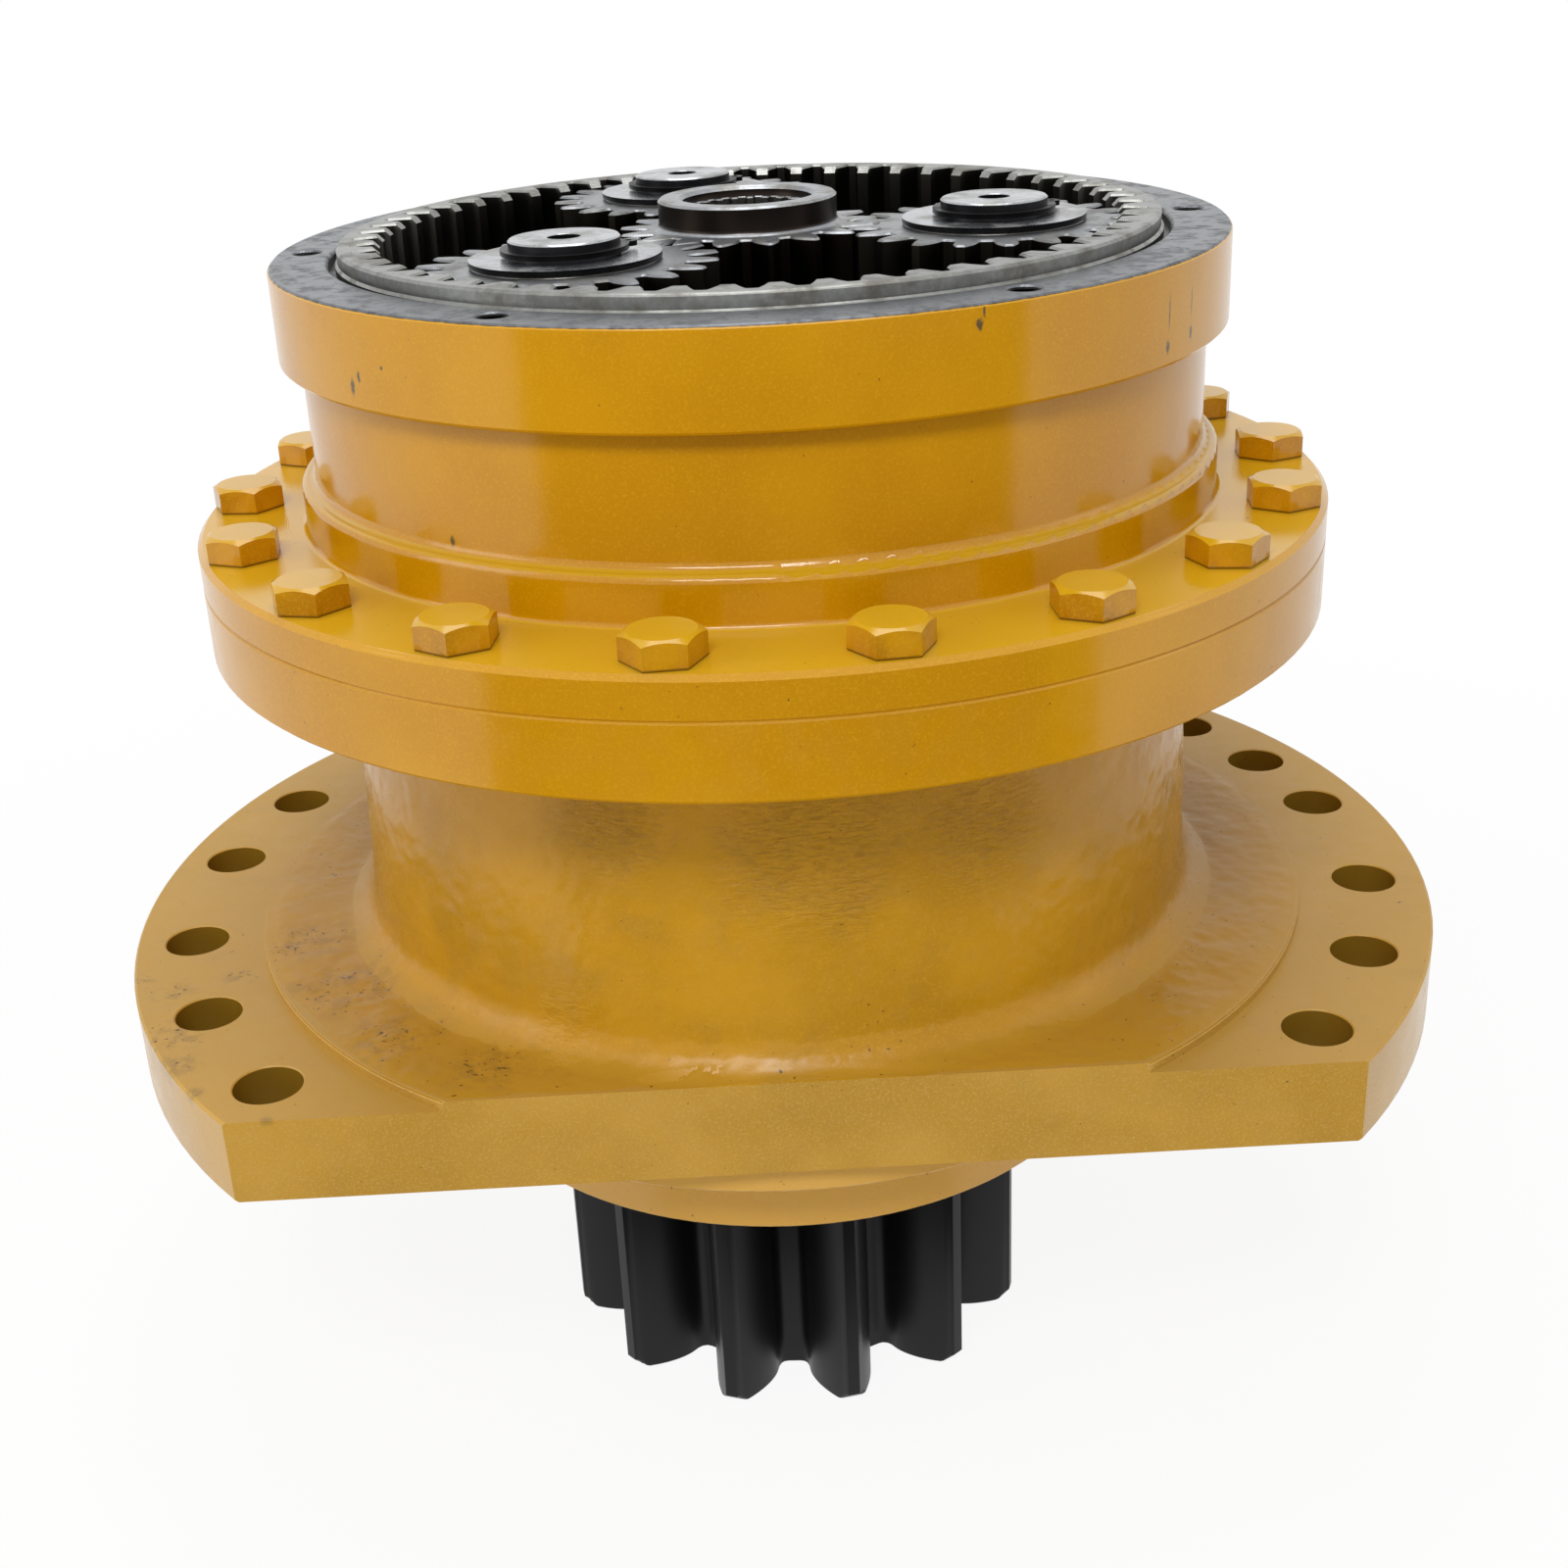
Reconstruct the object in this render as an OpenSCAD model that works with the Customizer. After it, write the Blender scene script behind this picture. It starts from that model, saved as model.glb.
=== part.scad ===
// Swing gearbox of a crawler excavator: two planetary stages in one fixed ring gear,
// a cast housing with a flanged foot, and an output pinion on two tapered roller bearings.
// Lengths in millimetres, angles in degrees. +Z points up to the motor face.
// Origin: on the gearbox axis, in the plane of the foot flange's mounting face.

/* [Case] */
// Wall of the waist outside the ring gear
waist_wall = 17.05; // [16:0.05:21]
// Step from the waist out to the band below the motor face
band_step = 8; // [6:0.5:11]
// Height of the band
band_h = 34.5; // [32:0.5:38]
// Step from the waist out to the collar above the bolt flange
collar_step = 6; // [4:0.5:8]
// Height of the collar
collar_h = 18; // [16:0.5:20]
// Distance from the collar to the axes of the case bolts
bolt_gap = 26; // [25:0.5:30]
// Width of the bolt flanges outside the axes of the case bolts
flange_edge = 16; // [14:0.5:19]
// Thickness of the case's bolt flange
case_flange_h = 15.5; // [14:0.5:17]
// Depth of the recess round the ring gear in the motor face
recess_h = 4; // [3:0.5:5]
// Width of the recess round the ring gear
recess_w = 2.5; // [2:0.1:3]

/* [Case bolts] */
// Number of bolts
bolt_count = 18; // [12, 16, 18]
// Thread diameter of a bolt
bolt_d = 16; // [14:1:16]
// Width of a bolt head across its flats
bolt_af = 25; // [24:0.5:26]
// Height of a bolt head
bolt_head_h = 10; // [9:0.5:11]
// Length of a bolt under its head
bolt_len = 40; // [36:1:42]

/* [Motor face] */
// Distance from the edge of the motor face to the tapped holes
motor_edge = 12.3; // [11.5:0.1:13.5]
// Number of tapped holes
motor_hole_count = 6; // [4, 6, 8]
// Core diameter of a tapped hole
motor_hole_d = 10.2; // [8.5:0.1:11]
// Depth of a tapped hole
motor_hole_h = 28; // [24:1:30]

/* [Lower housing] */
// Depth of the ring gear in the housing below the split line
ring_seat_h = 6.75; // [5:0.25:8]
// Thickness of the housing's bolt flange
housing_flange_h = 28; // [27:0.5:31]
// Wall of the neck below the bolt flange, outside the ring gear's radius
neck_wall = 12.05; // [11:0.05:14]
// Flare of the neck down to the foot
neck_flare = 3; // [2:0.5:4]
// Width of the foot flange outside its holes' axes
foot_edge = 25; // [22:0.5:28]
// Thickness of the foot flange at its machined rim
foot_h = 34; // [32:0.5:36]
// Width of the foot outside the neck at its two flats
flat_w = 9; // [8:0.5:12]
// Distance from the cast pad's rim to the foot holes' axes
pad_gap = 28; // [26:0.5:32]
// Height of the cast pad above the machined rim
pad_h = 4; // [3:0.5:5]
// Step from the neck's foot out to the pilot under the foot
pilot_step = 2; // [1:0.5:4]
// Height of the pilot
pilot_h = 14; // [12:0.5:16]
// Wall of the bearing boss below the pilot
boss_wall = 27; // [25:0.5:29]
// Height of the bearing boss below the pilot
boss_h = 40; // [38:0.5:44]

/* [Foot holes] */
// Distance from the neck's foot to the foot holes' axes
foot_hole_gap = 77; // [74:0.5:80]
// Diameter of a foot hole
foot_hole_d = 26; // [24:0.5:27]
// Angle of the first hole from the X axis
foot_first = 9; // [8:0.5:9.5]
// Angle between holes
foot_pitch = 15; // [14:0.5:15]
// Angle between holes in the back right quarter
foot_odd_pitch = 12; // [11.5:0.5:12.5]

/* [Gears] */
// Pitch diameter of the ring gear that both stages share
ring_pitch_d = 290; // [284:1:292]
// Face width of the first stage
face_1 = 42; // [40:0.5:43]
// Face width of the second stage
face_2 = 50; // [48:0.5:51]
// Height of the first stage teeth above the motor face
gear_proud = 2.6; // [2:0.1:3]
// Height of the ring gear above the motor face
ring_proud = 5.2; // [4.6:0.1:5.6]
// Wall of the ring gear outside its tooth roots
ring_wall = 6.7; // [6.2:0.1:6.9]
// Gap that each gear gives up on its tooth thickness
tooth_gap = 0.28; // [0.26:0.01:0.32]
// Height of the sun's collar above its teeth
sun_collar_h = 11; // [10:0.5:12]
// Wall of the sun's collar round its bore
sun_collar_wall = 9.8; // [8.5:0.1:10.4]

/* [Planet pins] */
// Diameter of a first stage pin
pin_1_d = 40; // [39:0.5:41]
// Diameter of a second stage pin
pin_2_d = 45; // [44:0.5:46]
// Needle diameter in the first stage
needle_1_d = 5; // [4.5:0.1:5]
// Needle diameter in the second stage
needle_2_d = 6; // [5.5:0.1:6]
// Width of a first stage thrust washer round its pin
washer_1_w = 14.5; // [14:0.1:15]
// Thickness of a thrust washer
washer_h = 1.8; // [1.5:0.1:2]
// Thickness of a circlip
clip_h = 1.8; // [1.5:0.1:2]

/* [Carriers] */
// Rim of the first carrier outside its pins
carrier_1_rim = 7; // [5:0.5:10]
// Thickness of the first carrier
carrier_1_h = 18; // [17:0.5:20]
// Rim of the second carrier outside its pins
carrier_2_rim = 18; // [14:0.5:20]
// Thickness of the second carrier
carrier_2_h = 34; // [32:0.5:36]

/* [Pinion] */
// Pitch diameter of the pinion
pinion_pitch_d = 168; // [165:0.6:171]
// Length of the pinion teeth
pinion_face = 120; // [116:1:124]
// Profile shift of the pinion teeth as a share of the module
pinion_shift_share = 0.4; // [0.35:0.01:0.45]
// Chamfer on the free end of the pinion teeth
pinion_chamfer = 5; // [4:0.5:6]

/* [Bearings] */
// Bore of the upper bearing
upper_bore_d = 100; // [98:1:102]
// Section of the upper bearing between its bore and its outer diameter
upper_section = 40; // [38:0.5:42]
// Width of the upper bearing
upper_w = 49; // [47:0.5:50]
// Bore of the lower bearing
lower_bore_d = 130; // [128:1:132]
// Section of the lower bearing between its bore and its outer diameter
lower_section = 50; // [48:0.5:52]
// Width of the lower bearing
lower_w = 67; // [65:0.5:68]
// Space between the two bearings
bearing_space = 52.5; // [50:0.5:56]
// Number of rollers in each main bearing
roller_count = 18; // [16, 17, 18]

/* [Hidden] */
$fn = 96;

// Overrun of a cut past the face it opens, and bite of a joined shape into its neighbour
over = 1;
bite = 0.5;
// Gap of a pressed or seated fit, and running gap between pieces that turn past each other
seat_gap = 0.05;
run_gap = 0.3;

// Edges of the case and housing
edge_cut = 1.2;
flange_cut = 2;
split_cut = 0.8;
waist_fillet = 3;
collar_round_r = 2.5;
flange_fillet = 2;
neck_fillet = 16;
foot_fillet = 15;
rim_cut = 1;
hole_cut = 0.5;

// Tooth numbers: the stages share one ring gear, and each has three planets
planets = 3;
ring_teeth = 58;
sun_1_teeth = 17;
planet_1_teeth = 20;
sun_2_teeth = 20;
planet_2_teeth = 19;
pressure = 20;
flank_steps = 5;
// Turn of one ring gear tooth gap, and of the first planet of each stage, from the X axis
ring_turn = 2.4;
planet_turn_1 = 105.7;
planet_turn_2 = 60;
pinion_teeth = 12;
pinion_m = pinion_pitch_d / pinion_teeth;
pinion_turn = 11.5;
// Addendum, dedendum and root fillet as shares of the module
addendum_share = 1;
ring_addendum_share = 0.8;
dedendum_share = 1.25;
fillet_share = 0.25;
// The planets run at the ring's own centre distance, which shifts the first sun outwards
sun_1_shift_share = 0.5;

// Radii of the planetary gears, worked out from the ring gear's pitch diameter
gear_m = ring_pitch_d / ring_teeth;
centre_1 = gear_m * (ring_teeth - planet_1_teeth) / 2;
centre_2 = gear_m * (ring_teeth - planet_2_teeth) / 2;
carrier_1_d = 2 * (centre_1 + carrier_1_rim) + pin_1_d;
carrier_2_d = 2 * (centre_2 + carrier_2_rim) + pin_2_d;
ring_root_r = gear_m * (ring_teeth / 2 + dedendum_share);
ring_tip_r = gear_m * (ring_teeth / 2 - ring_addendum_share);
ring_fit_r = ring_root_r + ring_wall;
ring_step = 1;
ring_top_r = ring_fit_r - ring_step;
ring_tip_cut = 2.5;
gear_tip_cut = 0.8;
hub_step = 1;

// Main bearings, from the boss up: the upper one stands just below the chamber floor
boss_z = -pilot_h - boss_h;
seal_zone = 22;
lower_z = boss_z + seal_zone;
lower_top = lower_z + lower_w;
upper_z = lower_top + bearing_space;
upper_top_gap = 3;
floor_z = upper_z + upper_w + upper_top_gap;
lower_outer_d = lower_bore_d + 2 * lower_section;
upper_outer_d = upper_bore_d + 2 * upper_section;
shoulder_w = 10;
shoulder_h = 10;
middle_step = 2;
middle_r = upper_outer_d / 2 + middle_step;
roller_share = 0.25;
roller_len_share = 0.6;
cup_share = 0.82;
roller_tilt = 14;
rib_h = 1;
rib_share = 0.5;
cage_t = 3;

// Heights of the second stage, from the chamber floor up to its pin tops
floor_gap = 13;
hub_h = 0.6;
clip_2_rise = 2.5;
carrier_2_bottom = floor_z + floor_gap;
carrier_2_top = carrier_2_bottom + carrier_2_h;
washer_2_low = carrier_2_top + seat_gap;
gear_2_bottom = washer_2_low + washer_h + run_gap + hub_h;
gear_2_top = gear_2_bottom + face_2;
washer_2_top = gear_2_top + hub_h + run_gap + washer_h;
clip_2_z = washer_2_top + run_gap;
pin_2_top = clip_2_z + clip_h + clip_2_rise;

// Heights of the first stage, from the underside of its carrier up to its sun
carrier_gap = 2.3;
clip_1_gap = 1.3;
clip_1_rise = 3.2;
carrier_1_bottom = pin_2_top + carrier_gap;
carrier_1_top = carrier_1_bottom + carrier_1_h;
washer_1_low = carrier_1_top + seat_gap;
gear_1_bottom = washer_1_low + washer_h + run_gap + hub_h;
gear_1_top = gear_1_bottom + face_1;
clip_1_z = gear_1_top + hub_h + run_gap + washer_h + clip_1_gap;
pin_1_top = clip_1_z + clip_h + clip_1_rise;
sun_top = gear_1_top + sun_collar_h;

// Heights of the case and housing, and of the ring gear in them
ring_overlap = 1.5;
ring_bottom = gear_2_bottom - ring_overlap;
split_h = ring_bottom + ring_seat_h;
case_top_z = gear_1_top - gear_proud;
ring_top_z = case_top_z + ring_proud;
case_flange_z = split_h + case_flange_h;
collar_z = case_flange_z + collar_h;
band_z = case_top_z - band_h;
housing_flange_z = split_h - housing_flange_h;

// Widths of the case and housing, from the ring gear out to the foot
waist_d = 2 * (ring_fit_r + waist_wall);
band_d = waist_d + 2 * band_step;
collar_d = waist_d + 2 * collar_step;
motor_circle_d = band_d - 2 * motor_edge;
bolt_circle_d = collar_d + 2 * bolt_gap;
flange_d = bolt_circle_d + 2 * flange_edge;
neck_top_d = 2 * (ring_fit_r + neck_wall);
neck_foot_d = neck_top_d + 2 * neck_flare;
foot_circle_d = neck_foot_d + 2 * foot_hole_gap;
foot_d = foot_circle_d + 2 * foot_edge;
foot_flats = neck_foot_d + 2 * flat_w;
pad_d = foot_circle_d - 2 * pad_gap;
pilot_d = neck_foot_d + 2 * pilot_step;
boss_d = lower_outer_d + 2 * boss_wall;
pad_z = foot_h + pad_h;
barrel_top_w = 4;
barrel_top_r = neck_top_d / 2 + barrel_top_w;

// Gear chamber in the housing, with an oil trough round the upper bearing
seat_step = 10;
chamber_r = ring_fit_r - seat_step;
trough_wall = 14;
trough_bottom_h = 24;
trough_floor = pad_z + trough_bottom_h;

// Bevel on a hexagon head, as a share of its width across flats, and the bevel's lean
head_bevel_share = 0.12;
head_bevel_lean = 30;
// Turns at which the case bolts came tight, one after another from the X axis
bolt_turns = [22.5, 12, 41, 18, 55, 29, 8, 46, 33, 52, 37, 47, 24, 4, 5.5, 34, 51, 24.5];

// Locknut and lock washer over the upper bearing
lock_washer_h = 2;
locknut_h = 12;
locknut_w = 13;
locknut_slots = 4;
locknut_slot_w = 10;
locknut_slot_h = 4;

// Shaft and its spline under the second carrier
thread_step = 1;
spline_n = 28;
spline_step = 5;
spline_r = upper_bore_d / 2 - spline_step;
spline_h = 3;
spline_gap = 0.1;
spline_foot_share = 0.3;
spline_tip_share = 0.19;
plate_recess_h = 17;
shaft_top = carrier_2_top - plate_recess_h;
body_step = 10;
body_r = upper_bore_d / 2 + body_step;
shaft_collar_step = 7;
shaft_collar_r = lower_bore_d / 2 + shaft_collar_step;
sleeve_w = 3;
pinion_gap = 4;
pinion_top = boss_z - pinion_gap;
pinion_bottom = pinion_top - pinion_face;

// Retaining plate, its bolts and the thrust pad under the second sun
plate_edge = 1;
plate_r = spline_r + plate_edge;
plate_h = 10;
plate_bolt_gap = 16;
plate_bolt_r = spline_r - plate_bolt_gap;
plate_bolt_d = 12;
plate_bolt_af = 18;
plate_bolt_head = 7.5;
plate_bolt_len = 32;
pad_bolt_gap = 15;
pad_r = plate_bolt_r - pad_bolt_gap;

// Second sun: collar under the first carrier and splined shank inside it
sun_2_collar_r = 36;
shank_n = 24;
shank_r = 27;
shank_h = 2.2;

// First sun: motor spline and bores
motor_spline_n = 23;
motor_spline_r = 24.2;
motor_spline_tip = 22;
motor_spline_len = 36;
sun_recess_r = 25;
sun_recess_h = 4;
sun_bore_r = 24.6;
sun_collar_d = 2 * (sun_bore_r + sun_collar_wall);
sun_rim_cut = 1.4;
sun_fillet = 2.5;
sun_washer_r = 37;

// Planet pins, needles, washers, circlips and roll pins
pin_hole_d = 12;
pin_hole_h = 30;
pin_cut = 1.4;
needle_count = 20;
needle_end = 3;
cage_share = 0.4;
washer_1_d = pin_1_d + 2 * washer_1_w;
washer_2_w = 15.5;
washer_2_d = pin_2_d + 2 * washer_2_w;
groove_h = 1;
clip_w = 4;
clip_angle = 34;
clip_ear_r = 3.2;
clip_ear_hole = 1.3;
clip_turn = 30;
roll_pin_d = 8;
roll_pin_wall = 1.5;
roll_pin_bite = 10;
roll_pin_sink = 1;
dowel_d = 8;
dowel_len = 42;
dowel_count = 6;
dowel_turn = 30;
dowel_rise = 1;
o_ring_d = 5;
o_ring_w = 6;
o_ring_r = ring_fit_r + seat_gap + o_ring_w;

// Oil seal, its carrier and the snap ring
seal_w = 15;
seal_h = 12;
seal_lip = 3;
seal_wall = 2;
carrier_lift = 4;
snap_h = 3;
snap_w = 6;
snap_groove = 3;
snap_angle = 20;

// Drain plug at the back of the neck
drain_rise = 40;
drain_z = pad_z + drain_rise;
drain_d = 22;
drain_boss_r = 21;
drain_boss_w = 7;
drain_len = 20;
drain_head_af = 27;
drain_head_h = 10;
drain_washer_h = 2;
drain_washer_r = 17;
oil_hole_d = 14;
oil_hole_count = 4;
oil_hole_turn = 45;

yellow = "#d99a1c";
steel = "#a9adb1";
bright = "#c9cccf";
dark = "#3b3c3e";
black = "#26282b";
rubber = "#1c1c1e";
bronze = "#b08a4a";

// Angle of planet k of a stage
function planet_angle(first, k) = first + k * 360 / planets;

// Turn of a planet so that its teeth meet the ring's gaps
function planet_spin(z, angle) =
    angle + ((ring_turn - angle) % (360 / ring_teeth)) * ring_teeth / z;

// Turn of a sun so that its teeth meet the gaps of a planet at this angle
function sun_spin(sun_z, z, angle) =
    angle - ((planet_spin(z, angle) - angle - 180) % (360 / z)) * z / sun_z + 180 / sun_z;

function involute(a) = tan(a) * 180 / PI - a;

// Half the angle that a tooth of z teeth takes at radius r
function half_tooth(z, m, x, thin, r) =
    (m * (PI / 2 + 2 * x * tan(pressure)) - thin) / (m * z) * 180 / PI
    + involute(pressure) - involute(acos(min(1, m * z * cos(pressure) / 2 / r)));

function polar(r, a) = [r * cos(a), r * sin(a)];

// One flank from the root radius r0 to r1, seen from the middle of the tooth
function flank(z, m, x, thin, r0, r1) =
    let (rb = m * z * cos(pressure) / 2, rs = max(rb, r0 + fillet_share * m))
    concat([[r0, half_tooth(z, m, x, thin, rs) + fillet_share * m / r0 * 180 / PI]],
        [for (i = [0 : flank_steps])
            let (r = rs + (r1 - rs) * i / flank_steps) [r, half_tooth(z, m, x, thin, r)]]);

// Gear outline of z teeth, the first one on the X axis
module gear_outline(z, m, x, thin, r0, r1) {
    side = flank(z, m, x, thin, r0 - bite / 2, r1 + bite);
    last = len(side) - 1;
    polygon([for (t = [0 : z - 1]) each concat(
        [for (p = side) polar(p[0], t * 360 / z - p[1])],
        [for (i = [last : -1 : 0]) polar(side[i][0], t * 360 / z + side[i][1])])]);
}

// Spline of n straight-sided teeth between radii r0 and r1, grown by a gap
module spline_outline(n, r0, r1, gap) {
    foot = 360 / n * spline_foot_share;
    tip = 360 / n * spline_tip_share;
    foot_gap = gap / r0 * 180 / PI;
    polygon([for (t = [0 : n - 1]) each [
        polar(r0 + gap, t * 360 / n - foot - foot_gap), polar(r1 + gap, t * 360 / n - tip - foot_gap),
        polar(r1 + gap, t * 360 / n + tip + foot_gap), polar(r0 + gap, t * 360 / n + foot + foot_gap)]]);
}

// Plain tube between two radii and two heights
module tube(r0, r1, z0, z1) {
    translate([0, 0, z0])
        rotate_extrude()
            translate([r0, 0]) square([r1 - r0, z1 - z0]);
}

// Rectangle of a turned profile: radius across, height up
module ring_box(r0, r1, z0, z1) {
    translate([r0, z0]) square([r1 - r0, z1 - z0]);
}

// Chamfer cut at an outer corner; sr and sz point out of the corner
module corner_cut(r, z, c, sr, sz) {
    polygon([[r - sr * c, z], [r - sr * c, z + sz * over], [r + sr * over, z + sz * over],
        [r + sr * over, z - sz * c], [r, z - sz * c]]);
}

// Round cut at an outer corner; sr and sz point out of the corner
module corner_round(r, z, f, sr, sz) {
    difference() {
        polygon([[r - sr * f, z - sz * f], [r - sr * f, z + sz * over], [r + sr * over, z + sz * over],
            [r + sr * over, z - sz * f]]);
        translate([r - sr * f, z - sz * f]) circle(r = f);
    }
}

// Fillet in an inner corner; sr and sz point into the open quarter
module corner_fillet(r, z, f, sr, sz) {
    difference() {
        polygon([[r - sr * bite, z - sz * bite], [r + sr * f, z - sz * bite], [r + sr * f, z],
            [r, z + sz * f], [r - sr * bite, z + sz * f]]);
        translate([r + sr * f, z + sz * f]) circle(r = f);
    }
}

// Hexagon bolt hanging from its seat at height zero, head above with its corners bevelled
module hex_bolt(d, af, head, len) {
    corner_r = af / sqrt(3);
    bevel_w = head_bevel_share * af;
    bevel_h = bevel_w * tan(head_bevel_lean);
    intersection() {
        cylinder(r = corner_r, h = head, $fn = 6);
        union() {
            cylinder(r = corner_r + over, h = head - bevel_h);
            translate([0, 0, head - bevel_h])
                cylinder(r1 = corner_r, r2 = corner_r - bevel_w, h = bevel_h);
        }
    }
    translate([0, 0, -len]) cylinder(d = d, h = len + bite);
}

// Copies a child to n places on a circle of radius r
module around(n, r, first) {
    for (i = [0 : n - 1])
        rotate([0, 0, first + i * 360 / n]) translate([r, 0, 0]) children();
}

// Turned outline of the whole lower casting: boss, pilot, foot, pad, neck and bolt flange
module casting_outline() {
    neck_top = neck_top_d / 2;
    neck_foot = neck_foot_d / 2;
    difference() {
        union() {
            ring_box(middle_r, flange_d / 2, housing_flange_z, split_h);
            polygon([[middle_r, pad_z - bite], [neck_foot, pad_z - bite],
                [neck_foot, pad_z], [neck_top, housing_flange_z],
                [neck_top, housing_flange_z + bite], [middle_r, housing_flange_z + bite]]);
            corner_fillet(neck_top, housing_flange_z, neck_fillet, 1, -1);
            corner_fillet(neck_foot - bite / 2, pad_z, foot_fillet, 1, 1);
            ring_box(middle_r, pad_d / 2, foot_h - bite, pad_z);
            ring_box(middle_r, foot_d / 2, 0, foot_h);
            ring_box(middle_r, pilot_d / 2, -pilot_h, bite);
            ring_box(middle_r, boss_d / 2, boss_z, bite - pilot_h);
        }
        corner_cut(flange_d / 2, split_h, split_cut, 1, 1);
        corner_cut(flange_d / 2, housing_flange_z, edge_cut, 1, -1);
        corner_cut(pad_d / 2, pad_z, rim_cut, 1, 1);
        corner_cut(foot_d / 2, foot_h, rim_cut, 1, 1);
        corner_cut(foot_d / 2, 0, rim_cut, 1, -1);
        corner_cut(pilot_d / 2, -pilot_h, rim_cut, 1, -1);
        corner_cut(boss_d / 2, boss_z, edge_cut, 1, -1);
    }
}

// Share of the outline that is the foot: outside a cone from the pilot's corner to the neck's foot
module foot_share() {
    neck_foot = neck_foot_d / 2;
    polygon([[pilot_d / 2, 0], [pilot_d / 2 + over, -over], [foot_d / 2 + over, -over],
        [foot_d / 2 + over, pad_z + over], [neck_foot + foot_fillet + over, pad_z], [neck_foot, pad_z]]);
}

// Share of the outline that is the bolt flange
module flange_share() {
    fillet_end = neck_top_d / 2 + neck_fillet;
    polygon([[barrel_top_r, split_h + over], [barrel_top_r, housing_flange_z],
        [fillet_end + over, housing_flange_z], [flange_d / 2 + over, housing_flange_z - over],
        [flange_d / 2 + over, split_h + over]]);
}

// The two flats at the front and back of the foot
module foot_flats_cut() {
    for (s = [-1, 1])
        translate([-foot_d, s > 0 ? foot_flats / 2 : -foot_flats / 2 - foot_d, -over])
            cube([2 * foot_d, foot_d, pad_z + foot_fillet + over]);
}

// Barrel of the casting, with the bearing seats, the neck and its fillets
module lower_housing() {
    color(yellow)
    difference() {
        union() {
            difference() {
                rotate_extrude() {
                    difference() {
                        casting_outline();
                        foot_share();
                        flange_share();
                    }
                    ring_box(upper_outer_d / 2 - shoulder_w, middle_r + bite, upper_z - shoulder_h, floor_z);
                }
                foot_flats_cut();
            }
            translate([0, 0, drain_z])
                rotate([-90, 0, 0]) cylinder(r = drain_boss_r, h = neck_foot_d / 2 + drain_boss_w);
        }
        rotate_extrude() {
            ring_box(0, ring_fit_r + seat_gap, ring_bottom, split_h + over);
            ring_box(0, chamber_r, floor_z, ring_bottom + bite);
            ring_box(upper_outer_d / 2 + trough_wall, chamber_r, trough_floor, floor_z + bite);
            ring_box(0, upper_outer_d / 2 + seat_gap, upper_z, floor_z + bite);
            ring_box(0, upper_outer_d / 2 - shoulder_w, upper_z - shoulder_h - over, upper_z + bite);
            ring_box(0, middle_r, lower_top + shoulder_h, upper_z - shoulder_h);
            ring_box(0, lower_outer_d / 2 - shoulder_w, lower_top - bite, lower_top + shoulder_h);
            ring_box(0, lower_outer_d / 2 + seat_gap, boss_z - over, lower_top);
            ring_box(0, lower_outer_d / 2 + snap_groove, boss_z + edge_cut,
                boss_z + edge_cut + snap_h + 2 * seat_gap);
            ring_box(o_ring_r, o_ring_r + o_ring_d + 2 * seat_gap, split_h - o_ring_d - seat_gap,
                split_h + over);
        }
        around(oil_hole_count, 0, oil_hole_turn)
            translate([0, 0, trough_floor + oil_hole_d])
                rotate([0, 90, 0]) cylinder(d = oil_hole_d, h = upper_outer_d / 2 + 2 * trough_wall);
        translate([0, 0, drain_z])
            rotate([-90, 0, 0]) cylinder(d = drain_d + 2 * seat_gap, h = foot_d);
    }
}

// Bolt flange of the casting, round the top of the barrel
module housing_bolt_flange() {
    color(yellow)
    difference() {
        rotate_extrude() {
            intersection() {
                casting_outline();
                flange_share();
            }
        }
        around(bolt_count, bolt_circle_d / 2, 0)
            translate([0, 0, housing_flange_z - over])
                cylinder(d = bolt_d + 2 * seat_gap, h = housing_flange_h + 2 * over);
    }
}

// Foot of the casting with its pad and bolt holes, round the bottom of the barrel
module housing_foot() {
    color(yellow)
    difference() {
        rotate_extrude() {
            intersection() {
                casting_outline();
                foot_share();
            }
        }
        foot_flats_cut();
        for (a = foot_angles) {
            rotate([0, 0, a]) translate([foot_circle_d / 2, 0, 0]) {
                translate([0, 0, -over]) cylinder(d = foot_hole_d, h = foot_h + 2 * over);
                translate([0, 0, foot_h - hole_cut])
                    cylinder(d1 = foot_hole_d, d2 = foot_hole_d + 4 * hole_cut, h = 2 * hole_cut);
            }
        }
    }
}

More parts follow.
